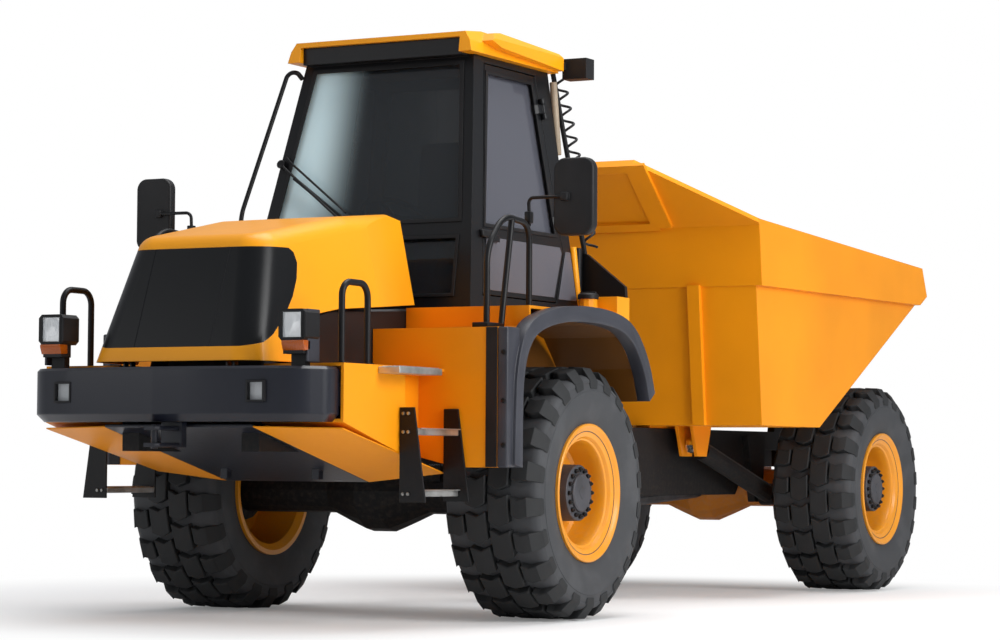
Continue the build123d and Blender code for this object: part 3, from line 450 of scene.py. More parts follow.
@dataclass(frozen=True)
class Casing(Finish):
    """Smooth black plastic with a seam down each side of the middle."""

    seam: float = 0.218
    half_seam: float = 0.003

    def build(self) -> bpy.types.Material:
        """Builds the casing.

        Returns:
            Its material.
        """
        g = Graph(self.name)
        across = g.part_of(g.place(), "X")
        square = across * across
        raised = square.between((self.seam - self.half_seam) ** 2, (self.seam + self.half_seam) ** 2)
        rough = 0.26 + g.noise(5.0, 3.0) * 0.08
        return g.surface(Base_Color=(*self.colour, 1.0), Roughness=rough, Specular_IOR_Level=0.3,
                         Normal=g.bump(raised, 0.8, 0.004))


@dataclass
class PaintShop:
    """Every finish on the truck, each made into a material once."""

    made: dict[str, bpy.types.Material] = field(default_factory=dict)
    yellow: Paint = Paint("yellow_paint", (0.95, 0.37, 0.004), 0.36, 0.1, 0.03, 0.006, 0.3)
    body_yellow: Paint = Paint("body_yellow_paint", (0.92, 0.315, 0.003), 0.45, 0.05, 0.04, 0.006, 0.22)
    # The wings' paint darkens the front wheels' wells with painted shade.
    wing_yellow: Paint = Paint("wing_yellow_paint", (0.92, 0.315, 0.003), 0.45, 0.05, 0.04, 0.006, 0.22, 0.85)
    # A darker copy of the yellow paint for the parts underneath: painted shade.
    frame_shaded_yellow: Paint = Paint("frame_shaded_yellow_paint", (0.70, 0.23, 0.006), 0.5, 0.1, 0.15, 0.006)
    rim_yellow: Paint = Paint("rim_yellow_paint", (0.80, 0.30, 0.006), 0.38, 0.15, 0.08)
    bumper: Paint = Paint("bumper_paint", (0.007, 0.0085, 0.016), 0.30, 0.35, 0.02, 0.014, 0.35)
    cab_black: Paint = Paint("cab_black_paint", (0.005, 0.0055, 0.007), 0.36, 0.0, 0.01, 0.006, 0.28)
    rail_black: Paint = Paint("rail_black_paint", (0.003, 0.003, 0.004), 0.40, 0.0, 0.01, 0.003, 0.3)
    under_black: Paint = Paint("under_black_paint", (0.006, 0.006, 0.007), 0.6, 0.0, 0.05, 0.004, 0.25)
    door_grey: Paint = Paint("door_grey_paint", (0.105, 0.105, 0.125), 0.42, 0.1, 0.02)
    guard_grey: Moulded = Moulded("guard_grey_plastic", (0.026, 0.0275, 0.037), 0.42, 0.06, 0.008)
    trim_black: Moulded = Moulded("trim_black_plastic", (0.005, 0.005, 0.006), 0.48, 0.10, 0.005, 0.3)
    pipe_beige: Moulded = Moulded("pipe_beige_plastic", (0.30, 0.24, 0.17), 0.5, 0.08, 0.003)
    inside_grey: Moulded = Moulded("inside_grey_plastic", (0.06, 0.06, 0.065), 0.6)
    rubber: Rubber = Rubber("tyre_rubber", (0.010, 0.011, 0.012), (0.022, 0.023, 0.025))
    wall_rubber: Rubber = Rubber("wall_rubber", (0.040, 0.042, 0.046), (0.075, 0.077, 0.082))
    tread_steel: Steel = Steel("tread_steel", (0.62, 0.62, 0.60), 0.38)
    cast: Steel = Steel("cast_iron", (0.10, 0.10, 0.105), 0.6, 0.4)
    hub: Steel = Steel("hub_grey", (0.065, 0.066, 0.076), 0.55, 0.2, 0.08)
    chrome: Steel = Steel("chrome_plate", (0.85, 0.85, 0.85), 0.08, 1.0, 0.02)
    bolt: Steel = Steel("bolt_steel", (0.40, 0.40, 0.38), 0.35)
    reflector: Steel = Steel("lamp_reflector", (0.90, 0.90, 0.90), 0.12, 1.0, 0.02)
    # The windscreen's pale blue, nearly opaque side is a painted reflection of the sky.
    glass: Pane = Pane("cab_tinted_glass", (0.022, 0.027, 0.032), (0.70, 0.93, 1.0), 0.70)
    side_glass: Pane = Pane("door_tinted_glass", (0.085, 0.088, 0.108), (0.05, 0.05, 0.06), 0.93)
    # The clear lens is partly painted highlight: pale white and half opaque, standing in for its bright
    # facets.
    lens: Lens = Lens("clear_lens", (0.85, 0.88, 0.9), 0.55)
    amber: Lens = Lens("amber_lens", (0.42, 0.085, 0.005), 0.95, 200.0)
    mirror: Steel = Steel("mirror_glass", (0.9, 0.9, 0.9), 0.03, 1.0, 0.0)
    cloth: Weave = Weave("seat_weave", (0.045, 0.047, 0.052))
    casing: Casing = Casing("grille_casing", (0.0025, 0.003, 0.004))

    def get(self, finish: Finish) -> bpy.types.Material:
        """Finds the material of a finish, which is built on first use.

        Args:
            finish: The finish.

        Returns:
            Its material.
        """
        if finish.name not in self.made:
            self.made[finish.name] = finish.build()
        return self.made[finish.name]


SHOP = PaintShop()


# Mesh building


def link(thing: bpy.types.Object) -> bpy.types.Object:
    """Puts an object in the scene."""
    bpy.context.scene.collection.objects.link(thing)
    return thing


def made_of(bm: bmesh.types.BMesh, name: str, material: bpy.types.Material) -> bpy.types.Object:
    """Makes an object from a bmesh, which ends there.

    Args:
        bm: The mesh.
        name: The object's name.
        material: The material of all its faces.

    Returns:
        The object, in the scene.
    """
    mesh = bpy.data.meshes.new(name)
    bm.to_mesh(mesh)
    bm.free()
    mesh.materials.append(material)
    return link(bpy.data.objects.new(name, mesh))


class Shape:
    """A mesh under work, in the truck's millimetres."""

    def __init__(self) -> None:
        """Starts empty."""
        self.bm = bmesh.new()

    def _after(self, work: Callable[[], object]) -> list[bmesh.types.BMFace]:
        """Runs a step.

        Args:
            work: The step.

        Returns:
            The faces that it added.
        """
        before = set(self.bm.faces)
        work()
        return [f for f in self.bm.faces if f not in before]

    def soften(self, faces: Sequence[bmesh.types.BMFace], width: float, segments: int,
               sharpest: float = 25.0) -> None:
        """Bevels the sharp edges of some faces.

        Args:
            faces: The faces of one closed form.
            width: The bevel's width.
            segments: The bevel's segments.
            sharpest: Only edges that turn by more than this many degrees are bevelled.
        """
        if width <= 0:
            return
        edges = [e for e in dict.fromkeys(e for f in faces for e in f.edges)
                 if len(e.link_faces) == 2 and e.calc_face_angle(0.0) > math.radians(sharpest)]
        if edges:
            bmesh.ops.bevel(self.bm, geom=edges, offset=width, offset_type="OFFSET", segments=segments,
                            profile=0.5, affect="EDGES", clamp_overlap=True, material=-1)

    def box(self, low: Point, high: Point, bevel: float = 0.0, segments: int = 2) -> "Shape":
        """Adds a box between two corners.

        Args:
            low: Its lowest corner.
            high: Its highest corner.
            bevel: Width of the bevel on its edges.
            segments: The bevel's segments.

        Returns:
            This shape.
        """
        low, high = Vector(low), Vector(high)
        matrix = Matrix.Translation((low + high) / 2) @ Matrix.Diagonal((*(high - low), 1.0))
        faces = self._after(lambda: bmesh.ops.create_cube(self.bm, size=1.0, matrix=matrix))
        self.soften(faces, bevel, segments)
        return self

    def prism(self, outline: Outline, across: Across, low: float, high: float,
              bevel: float = 0.0, segments: int = 2, sharpest: float = 25.0) -> "Shape":
        """Adds a prism over an outline in the plane across one axis.

        Args:
            outline: Points in the other two axes, in the order X, Y, Z.
            across: The axis that the prism runs along.
            low: Where it starts on that axis.
            high: Where it ends.
            bevel: Width of the bevel on its sharp edges.
            segments: The bevel's segments.
            sharpest: The least turn of an edge that is bevelled, in degrees.

        Returns:
            This shape.
        """
        def spot(a: float, b: float) -> Vector:
            """One outline point in space."""
            return Vector({Across.X: (low, a, b), Across.Y: (a, low, b), Across.Z: (a, b, low)}[across])

        def draw() -> None:
            """Draws the outline's face and pulls it out."""
            flat = self.bm.faces.new([self.bm.verts.new(spot(a, b)) for a, b in outline])
            pulled = bmesh.ops.extrude_face_region(self.bm, geom=[flat], use_keep_orig=True)
            shift = Vector([high - low if across.value == k else 0.0 for k in range(3)])
            bmesh.ops.translate(self.bm, vec=shift,
                                verts=[v for v in pulled["geom"] if isinstance(v, bmesh.types.BMVert)])

        faces = self._after(draw)
        bmesh.ops.recalc_face_normals(self.bm, faces=faces)
        self.soften(faces, bevel, segments, sharpest)
        return self

    def ring(self, outline: Outline, across: Across, low: float, high: float, width: float) -> "Shape":
        """Adds a flat band along the inside of an outline, one bar to a side.

        Args:
            outline: The band's outer corners.
            across: The axis that the band's thickness runs along.
            low: Where it starts on that axis.
            high: Where it ends.
            width: The band's width.

        Returns:
            This shape.
        """
        count = len(outline)
        mid_a, mid_b = (sum(part) / count for part in zip(*outline))
        inner = [(a - math.copysign(width, a - mid_a), b - math.copysign(width, b - mid_b))
                 for a, b in outline]
        for k in range(count):
            after = (k + 1) % count
            self.prism([outline[k], outline[after], inner[after], inner[k]], across, low, high)
        return self

    def sheet(self, corners: Sequence[Point], thick: float) -> "Shape":
        """Adds a four-cornered sheet, which may be slightly twisted.

        Args:
            corners: The corners of its lower face.
            thick: How far the upper face is above them.

        Returns:
            This shape.
        """
        def draw() -> None:
            """Draws the hull of the lower and upper corners."""
            spots = [self.bm.verts.new((x, y, z + up)) for up in (0.0, thick) for x, y, z in corners]
            bmesh.ops.convex_hull(self.bm, input=spots)

        self._after(draw)
        return self

    def rod(self, start: Point, end: Point, radius: float, sides: int = 24, bevel: float = 0.0) -> "Shape":
        """Adds a round bar between two points.

        Args:
            start: The middle of its first end.
            end: The middle of its other end.
            radius: Its radius.
            sides: Its number of sides.
            bevel: Width of the bevel on its rims.

        Returns:
            This shape.
        """
        start, end = Vector(start), Vector(end)
        turn = (end - start).to_track_quat("Z", "Y").to_matrix().to_4x4()
        matrix = Matrix.Translation((start + end) / 2) @ turn
        faces = self._after(lambda: bmesh.ops.create_cone(
            self.bm, cap_ends=True, segments=sides, radius1=radius, radius2=radius,
            depth=(end - start).length, matrix=matrix))
        self.soften(faces, bevel, 2, 50.0)
        return self

    def nut(self, start: Point, end: Point, radius: float) -> "Shape":
        """Adds a hexagon head between two points."""
        return self.rod(start, end, radius, 6, radius * 0.12)

    def spun(self, profile: Outline, centre: Point, axis: Point, steps: int = 96) -> "Shape":
        """Adds a turned body.

        Args:
            profile: Points (along the axis, radius) of its outline.
            centre: A point on its axis, where the profile's first number is 0.
            axis: The direction of its axis.
            steps: Sides round it.

        Returns:
            This shape.
        """
        centre, axis = Vector(centre), Vector(axis).normalized()
        side = axis.orthogonal().normalized()

        def turn() -> None:
            """Draws the profile and spins it."""
            verts = [self.bm.verts.new(centre + axis * a + side * r) for a, r in profile]
            edges = [self.bm.edges.new(pair) for pair in zip(verts, verts[1:])]
            edges.append(self.bm.edges.new((verts[-1], verts[0])))
            bmesh.ops.spin(self.bm, geom=verts + edges, cent=centre, axis=axis, dvec=(0, 0, 0),
                           angle=math.tau, steps=steps, use_merge=True)

        faces = self._after(turn)
        self._merge(faces)
        bmesh.ops.recalc_face_normals(self.bm, faces=[f for f in faces if f.is_valid])
        return self

    def tube(self, points: Sequence[Point], radius: float, bend: float = 40.0, sides: int = 6) -> "Shape":
        """Adds a bent tube with round corners.

        Args:
            points: The corners of its run.
            radius: The tube's radius.
            bend: How far each bend starts before its corner.
            sides: A quarter of the sides round it, less one.

        Returns:
            This shape.
        """
        path = [Vector(p) for p in points]
        knots = [(path[0], path[0], path[1])]
        for before, corner, after in zip(path, path[1:], path[2:]):
            back, on = (before - corner), (after - corner)
            reach = min(bend, back.length * 0.49, on.length * 0.49)
            first, last = corner + back.normalized() * reach, corner + on.normalized() * reach
            knots.append((first, before, first.lerp(corner, 0.55)))
            knots.append((last, last.lerp(corner, 0.55), after))
        knots.append((path[-1], path[-2], path[-1]))
        line, spline = self.run("BEZIER", radius, sides, 8)
        spline.bezier_points.add(len(knots) - 1)
        for knot, (spot, left, right) in zip(spline.bezier_points, knots):
            knot.handle_left_type = knot.handle_right_type = "FREE"
            knot.co = spot
            knot.handle_left = spot.lerp(left, 0.33) if (left - spot).length > bend else left
            knot.handle_right = spot.lerp(right, 0.33) if (right - spot).length > bend else right
        return self.take(line)

    @staticmethod
    def run(kind: str, radius: float, sides: int, steps: int) -> tuple[bpy.types.Curve, bpy.types.Spline]:
        """Starts a round line along a spline.

        Args:
            kind: The spline's kind.
            radius: The line's radius.
            sides: A quarter of the sides round it, less one.
            steps: The steps between two of its points.

        Returns:
            The curve and its spline.
        """
        curve = bpy.data.curves.new("run", "CURVE")
        curve.dimensions = "3D"
        curve.bevel_depth = radius
        curve.bevel_resolution = sides
        curve.resolution_u = steps
        curve.use_fill_caps = True
        return curve, curve.splines.new(kind)

    def _merge(self, faces: Sequence[bmesh.types.BMFace]) -> None:
        """Merges the doubled corners of some faces."""
        bmesh.ops.remove_doubles(self.bm, verts=list(dict.fromkeys(v for f in faces for v in f.verts)),
                               dist=MERGE)

    def take(self, curve: bpy.types.Curve) -> "Shape":
        """Adds a curve's mesh to this one and drops the curve.

        Args:
            curve: The curve.

        Returns:
            This shape.
        """
        holder = link(bpy.data.objects.new("run", curve))
        bpy.context.view_layer.update()
        mesh = bpy.data.meshes.new_from_object(holder.evaluated_get(bpy.context.evaluated_depsgraph_get()))
        self._merge(self._after(lambda: self.bm.from_mesh(mesh)))
        bpy.data.objects.remove(holder)
        bpy.data.curves.remove(curve)
        bpy.data.meshes.remove(mesh)
        return self

    def leant(self, across: Across) -> "Shape":
        """Moves the shape, drawn about 0 on one axis, onto one of the cab's leaning faces.

        Args:
            across: X for the cab's left side or Y for its front.

        Returns:
            This shape.
        """
        start, lean = CAB_SIDE if across is Across.X else CAB_FRONT
        for vert in self.bm.verts:
            vert.co[across.value] += start + lean * (vert.co.z - CAB_FLOOR)
        return self

    def mirrored(self) -> "Shape":
        """Adds the same again on the truck's other side.

        Returns:
            This shape.
        """
        twin = bmesh.ops.duplicate(self.bm, geom=self.bm.verts[:] + self.bm.edges[:] + self.bm.faces[:])
        verts = [v for v in twin["geom"] if isinstance(v, bmesh.types.BMVert)]
        faces = [f for f in twin["geom"] if isinstance(f, bmesh.types.BMFace)]
        bmesh.ops.scale(self.bm, vec=(-1, 1, 1), verts=verts)
        bmesh.ops.reverse_faces(self.bm, faces=faces)
        return self

    def round_and_round(self, centre: Point, axis: Point, count: int) -> "Shape":
        """Repeats everything so far round an axis.

        Args:
            centre: A point on the axis.
            axis: Its direction.
            count: How many there are in the full round.

        Returns:
            This shape.
        """
        source = self.bm.verts[:] + self.bm.edges[:] + self.bm.faces[:]
        bmesh.ops.spin(self.bm, geom=source, cent=Vector(centre), axis=Vector(axis), dvec=(0, 0, 0),
                       angle=math.tau * (count - 1) / count, steps=count - 1, use_duplicate=True)
        return self

    def finish(self, name: str, look: Finish, slot: str, replaces: Iterable[str] = (),
               smooth: float = 35.0, body: Body | str = Body.FRONT) -> bpy.types.Object:
        """Ends the shape as a piece of the truck.

        Args:
            name: The piece's name.
            look: Its finish.
            slot: The record's material slot; not used.
            replaces: The CAD nodes that it stands for.
            smooth: Edges that turn less than this many degrees are shaded smooth.
            body: The body that it rides on.

        Returns:
            The piece's object.
        """
        bmesh.ops.recalc_face_normals(self.bm, faces=self.bm.faces[:])
        bmesh.ops.scale(self.bm, vec=(METRE, METRE, METRE), verts=self.bm.verts[:])
        bmesh.ops.translate(self.bm, vec=(0.0, FRONT_AXLE_Y, 0.0), verts=self.bm.verts[:])
        for face in self.bm.faces:
            face.smooth = True
        for edge in self.bm.edges:
            edge.smooth = len(edge.link_faces) != 2 or edge.calc_face_angle(0.0) < math.radians(smooth)
        piece = made_of(self.bm, name, SHOP.get(look))
        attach(piece, body.value if isinstance(body, Body) else body)
        if replaces:
            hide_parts(*replaces)
        LOG.info("%s: %d faces", name, len(piece.data.polygons))
        return piece


# Sub-assemblies


@dataclass
class CadFinishes:
    """The finishes of the CAD nodes that stay in view."""

    nodes: dict[str, bpy.types.Object]

    def dress(self) -> None:
        """Gives every CAD node its material."""
        looks = {
            SHOP.yellow: ("cab_roof", "hood", "tank"), SHOP.wing_yellow: ("wings",),
            SHOP.body_yellow: ("dump_body",), SHOP.frame_shaded_yellow: ("belly_plate", "rear_axle"),
            SHOP.bumper: ("bumper", "tow_clevis"), SHOP.cab_black: ("cab_frame", "door"),
            SHOP.glass: ("cab_glass",), SHOP.side_glass: ("door_glass",), SHOP.lens: ("lamp_glass",),
            SHOP.inside_grey: ("console",), SHOP.cloth: ("seat",), SHOP.casing: ("hood_grille",),
            SHOP.trim_black: ("steering_wheel", "engine_sides", "mirrors", "lamps", "coil_hose"),
            SHOP.guard_grey: ("mudguards",), SHOP.rail_black: ("handrails", "ladders", "rear_strut"),
            SHOP.under_black: ("front_chassis", "rear_chassis", "hitch_block", "front_axle", "tip_barrels",
                               "steer_barrel"),
            SHOP.cast: ("engine_block", "propshaft"), SHOP.chrome: ("tip_rods", "steer_rod"),
            SHOP.rubber: ("tyre",), SHOP.rim_yellow: ("rim",),
        }
        by_start = {start: look for look, starts in looks.items() for start in starts}
        for name, node in self.nodes.items():
            start = max((key for key in by_start if name.startswith(key)), key=len)
            node.data.materials.clear()
            node.data.materials.append(SHOP.get(by_start[start]))
        LOG.info("dressed %d CAD nodes", len(self.nodes))


@dataclass
class Wheel:
    """One wheel: a tyre with its carcass and tread, a dished rim and its hub with nuts."""

    place: str
    side: int
    axle_y: float
    tyre_r: float = 660.0
    half_w: float = 274.0
    middle_x: float = 976.0
    crown_r: float = 616.0
    bead: float = 241.0
    flange_r: float = 360.0
    seat_r: float = 318.0
    lugs: int = 22
    shoulder: float = 228.0
    crown_half: float = 120.0

    @property
    def centre(self) -> Vector:
        """The middle of the wheel."""
        return Vector((self.side * self.middle_x, self.axle_y, self.tyre_r))

    @property
    def outward(self) -> Vector:
        """The direction out of the truck."""
        return Vector((self.side, 0, 0))

    @property
    def body(self) -> str:
        """The body that the wheel is."""
        return "wheel_" + self.place

    def _block(self, shape: Shape, outline: Outline) -> None:
        """Adds one tread block at the top of the tyre.

        Args:
            shape: The shape that takes it.
            outline: Its (across, round) points on the tread.
        """
        flat = Shape().prism(outline, Across.Z, 0.0, 1.0)
        for cut in (190.0, self.shoulder, -190.0, -self.shoulder):
            bmesh.ops.bisect_plane(flat.bm, geom=flat.bm.verts[:] + flat.bm.edges[:] + flat.bm.faces[:],
                                   plane_co=(cut, 0, 0), plane_no=(1, 0, 0))
        for vert in flat.bm.verts:
            across, along, top = vert.co
            fall = max(0.0, abs(across) - self.shoulder)
            high = self.tyre_r - 1.5 - max(0.0, abs(across) - self.crown_half) * 0.05 - fall * 1.42
            low = self.crown_r - 8.0 - fall * 1.5
            reach = high if top > 0.5 else low
            angle = along / self.tyre_r
            vert.co = (across, reach * math.sin(angle), reach * math.cos(angle))
        flat.soften(flat.bm.faces[:], 5.0, 1, 30.0)
        mesh = bpy.data.meshes.new("block")
        flat.bm.to_mesh(mesh)
        flat.bm.free()
        shape.bm.from_mesh(mesh)
        bpy.data.meshes.remove(mesh)

    def _tread(self) -> Shape:
        """Makes two rows of chevron blocks and two of shoulder lugs, half a pitch apart.

        Returns:
            The tread.
        """
        pitch = math.tau * self.tyre_r / self.lugs
        inner = [(7, -52), (62, -80), (124, -56), (124, 92), (62, 68), (7, 96)]
        outer = [(137, -44), (176, -60), (222, -48), (274, -56), (274, 44), (222, 52), (176, 40), (137, 54)]
        shape = Shape()
        for hand, shift in ((1, 0.0), (-1, pitch / 2)):
            self._block(shape, [(hand * a, b + shift) for a, b in inner])
            self._block(shape, [(hand * a, b + shift + pitch * 0.12) for a, b in outer])
        return shape.round_and_round((0, 0, 0), (1, 0, 0), self.lugs)

    def build_tyre(self) -> None:
        """Makes the carcass and the tread."""
        w, r = -self.half_w, self.flange_r
        wall = [(-self.bead, r - 4), (w + 26, r + 20), (w + 14, r + 52), (w + 5, r + 84), (w + 2, 470),
                (w, 500), (w + 1, 528), (w + 4, 530), (w + 5, 548), (w + 9, 572), (w + 6, 574), (w + 8, 586),
                (w + 26, 602), (w + 52, 612), (-120, self.crown_r + 1), (0, self.crown_r + 2)]
        loop = wall + [(-across, out) for across, out in reversed(wall[:-1])]
        loop += [(self.bead, self.seat_r), (-self.bead, self.seat_r)]
        carcass, tread = Shape().spun(loop, (0, 0, 0), (1, 0, 0), 120), self._tread()
        for part in (carcass, tread):
            bmesh.ops.transform(part.bm, matrix=Matrix.Translation(self.centre), verts=part.bm.verts[:])
        carcass.finish("tyre_wall_" + self.place, SHOP.wall_rubber, "tyre",
                       ["tyre_" + self.place], 40.0, self.body)
        tread.finish("tyre_tread_" + self.place, SHOP.rubber, "tyre", (), 28.0, self.body)

    def build_rim(self) -> None:
        """Makes the rim, its hub and the ring of nuts."""
        lip, flange, seat = self.half_w - 13, self.flange_r, self.seat_r
        rim = Shape().spun([
            (lip - 2, flange - 16), (lip, flange - 8), (lip - 5, flange), (lip - 20, flange),
            (lip - 22, seat), (22 - lip, seat), (20 - lip, flange), (-lip, flange), (-lip, flange - 25),
            (26 - lip, seat - 18), (20, seat - 18), (20, 100), (50, 100), (50, 236), (62, 254), (84, 262),
            (150, 266), (lip - 62, 268), (lip - 50, 274), (lip - 46, 283), (lip - 38, 288),
            (lip - 30, 294), (lip - 26, 306), (lip - 20, 322), (lip - 12, 334)],
            self.centre, self.outward, 96)
        rim.finish("rim_" + self.place + "_disc", SHOP.rim_yellow, "rim_paint",
                   ["rim_" + self.place], 32.0, self.body)
        hub = Shape().spun([
            (30, 0.5), (lip - 40, 0.5), (lip - 40, 30), (lip - 44, 34), (lip - 44, 92), (lip - 50, 99),
            (lip - 62, 100), (lip - 64, 104), (lip - 64, 141), (lip - 69, 146), (30, 150)],
            self.centre, self.outward, 72)
        hub.finish("hub_" + self.place, SHOP.hub, "rim_paint", (), 32.0, self.body)
        base = Vector((lip - 66, 0, 122.0))
        nuts = Shape().nut(base, base + Vector((17, 0, 0)), 13)
        nuts.rod(base, base + Vector((24, 0, 0)), 7, 10, 1.0)
        nuts.round_and_round((0, 0, 0), (1, 0, 0), 16)
        turn = Matrix.Translation(self.centre) @ Matrix.Diagonal((self.side, 1, 1, 1))
        bmesh.ops.transform(nuts.bm, matrix=turn, verts=nuts.bm.verts[:])
        nuts.finish("hub_nuts_" + self.place, SHOP.trim_black, "rim_paint", (), 30.0, self.body)

    def build(self) -> None:
        """Makes the whole wheel."""
        self.build_tyre()
        self.build_rim()


@dataclass
class Rails:
    """The hoops on the deck, the grab rails on the ledge and the mirrors' arms."""

    deck_x: float = 819.0
    deck_z: float = 1280.0
    grab_x: float = 1050.0
    ledge_z: float = 1487.0
    fender_z: float = 1610.0
    hoop_y: tuple[float, float] = (-1790.0, -1556.0)
    hoop_top: float = 1668.0
    radius: float = 16.0
    mirror_x: float = 1306.0
    mirror_y: float = -360.0
    mirror_z: float = 2175.0

    def build(self) -> None:
        """Makes the rails on both sides."""
        x, z, top, (front, back) = self.deck_x, self.deck_z, self.hoop_top, self.hoop_y
        g, ledge, fender = self.grab_x, self.ledge_z, self.fender_z
        rails = Shape().tube([(x, front, z), (x, front, top), (x, back, top), (x, back, z)], self.radius, 70)
        rails.tube([(g, -790, ledge), (g, -790, 1890), (g, -620, 2065), (g, -340, 2040), (g, -340, fender)],
                   self.radius, 80)
        rails.tube([(g, -530, 2055), (g, -620, 1600), (g, -640, ledge)], self.radius, 40)
        y, arm = self.mirror_y, self.mirror_z
        rails.tube([(g, y + 20, 2030), (g, y + 10, arm), (g + 60, y, arm),
                    (self.mirror_x - 40, y, arm)], 9, 30)
        for a, b, c in ((x, front, z), (x, back, z), (g, -790, ledge), (g, -640, ledge), (g, -340, fender)):
            rails.box((a - 26, b - 26, c), (a + 26, b + 26, c + 7), 2)
        rails.box((g - 45, -860, ledge), (g + 45, -690, ledge + 26), 4)
        rails.box((g - 18, y - 4, 2045), (g + 18, y + 34, 2105), 5)
        rails.mirrored().finish("grab_rails", SHOP.rail_black, "black_rail", ["handrails"])


@dataclass
class Mirrors:
    """The two mirrors: a rounded shell and its glass on the back."""

    x: float = 1306.0
    y: float = -320.0
    z: float = 2175.0

    def _outline(self, half_x: float, half_z: float, radius: float) -> list[tuple[float, float]]:
        """A rectangle with round corners about the mirror's middle.

        Args:
            half_x: Half its width.
            half_z: Half its height.
            radius: The corners' radius.

        Returns:
            Its points.
        """
        points = []
        for k in range(28):
            angle = math.tau * (k + 0.5) / 28
            across, up = math.cos(angle), math.sin(angle)
            points.append((self.x + math.copysign(half_x - radius, across) + across * radius,
                           self.z + math.copysign(half_z - radius, up) + up * radius))
        return points

    def build(self) -> None:
        """Makes both mirrors."""
        shells = Shape().prism(self._outline(115, 200, 62), Across.Y, self.y - 30, self.y + 29, 14, 4, 50.0)
        shells.box((self.x - 66, self.y - 55, self.z - 22), (self.x - 22, self.y - 20, self.z + 22), 8, 2)
        shells.mirrored().finish("mirror_shells", SHOP.trim_black, "black_plastic", ["mirrors"])
        panes = Shape().prism(self._outline(96, 181, 46), Across.Y, self.y + 27, self.y + 30)
        panes.mirrored().finish("mirror_panes", SHOP.mirror, "glass")


@dataclass
class Lamps:
    """What shows of the headlamps and the bumper lamps beside their lenses, and the indicators."""

    head_x: float = 700.0
    head_y: float = -2040.0
    head_z: float = 1453.0
    bumper_x: float = 557.0
    bumper_z: float = 1142.0
    bumper_y: tuple[float, float] = (-2133.0, -2100.0)
    plate_y: tuple[float, float] = (-2003.0, -1897.0)
    plate_z: tuple[float, float] = (1279.0, 1528.0)

    @staticmethod
    def _corners(x: float, z: float, half_x: float, half_z: float) -> Outline:
        """The corners of an upright rectangle about a point."""
        return [(x + a * half_x, z + b * half_z) for a, b in ((-1, -1), (-1, 1), (1, 1), (1, -1))]

    def build(self) -> None:
        """Makes what shows behind and beside the lenses."""
        x, y, z = self.head_x, self.head_y, self.head_z
        bowls = Shape().box((x - 50, y + 9.8, z - 60), (x + 50, y + 11.6, z + 60))
        bowls.spun([(0, 44), (-4, 44), (-2, 30), (3, 12), (3, 0.5), (7, 0.5), (7, 44)], (x, y + 7, z + 10),
                   (0, 1, 0), 40)
        bowls.mirrored().finish("head_reflectors", SHOP.reflector, "lamp_black")
        rims = Shape().ring(self._corners(x, z, 60, 68), Across.Y, y - 3, y + 2, 9)
        rims.ring(self._corners(self.bumper_x, self.bumper_z, 50, 50), Across.Y, *self.bumper_y, 9)
        rims.mirrored().finish("lamp_bezels", SHOP.trim_black, "lamp_black")
        near, far = zip(self.plate_y, self.plate_z)
        plates = Shape().box((x + 53, *near), (x + 66, *far), 3, 1)
        plates.mirrored().finish("lamp_plates", SHOP.guard_grey, "lamp_black")
        wedge = [(y - 2, z - 72), (y + 60, z - 72), (y + 60, z - 118), (y + 12, z - 122), (y - 2, z - 86)]
        amber = Shape().prism(wedge, Across.X, x - 58, x + 66, 4, 2)
        amber.mirrored().finish("head_indicators", SHOP.amber, "lamp_lens")


@dataclass
class CabInside:
    """The driver's seat and the steering wheel."""

    wheel_y: float = 85.0
    wheel_z: float = 2140.0

    def build(self) -> None:
        """Makes the cushions, the pedestal and the steering wheel."""
        seat = Shape().box((-240, 300, 1900), (240, 700, 2025), 45, 4)
        seat.finish("seat_cushion", SHOP.cloth, "seat_fabric", ["seat"])
        back = Shape().prism([(645, 2020), (735, 2010), (790, 2620), (715, 2630)], Across.X, -225, 225, 38, 4)
        back.finish("seat_back", SHOP.cloth, "seat_fabric")
        base = Shape().box((-150, 330, 1670), (150, 630, 1902), 12, 2)
        base.finish("seat_pedestal", SHOP.inside_grey, "interior")
        tilt = Vector((0, 0.46, 0.888)).normalized()
        hub = Vector((0, self.wheel_y, self.wheel_z))
        ring = [(14 * math.sin(math.tau * k / 16), 192 + 14 * math.cos(math.tau * k / 16)) for k in range(16)]
        wheel = Shape().spun(ring, hub, tilt, 64)
        wheel.spun([(-14, 0.5), (-14, 36), (8, 36), (14, 28), (14, 0.5)], hub, tilt, 32)
        side = Vector((1, 0, 0))
        rise = tilt.cross(side)
        for angle in (0.0, math.pi, math.pi * 1.5):
            arm = side * math.cos(angle) + rise * math.sin(angle)
            wheel.rod(hub + arm * 20, hub + arm * 188, 10, 12)
        wheel.finish("wheel_ring", SHOP.trim_black, "interior", ["steering_wheel"])


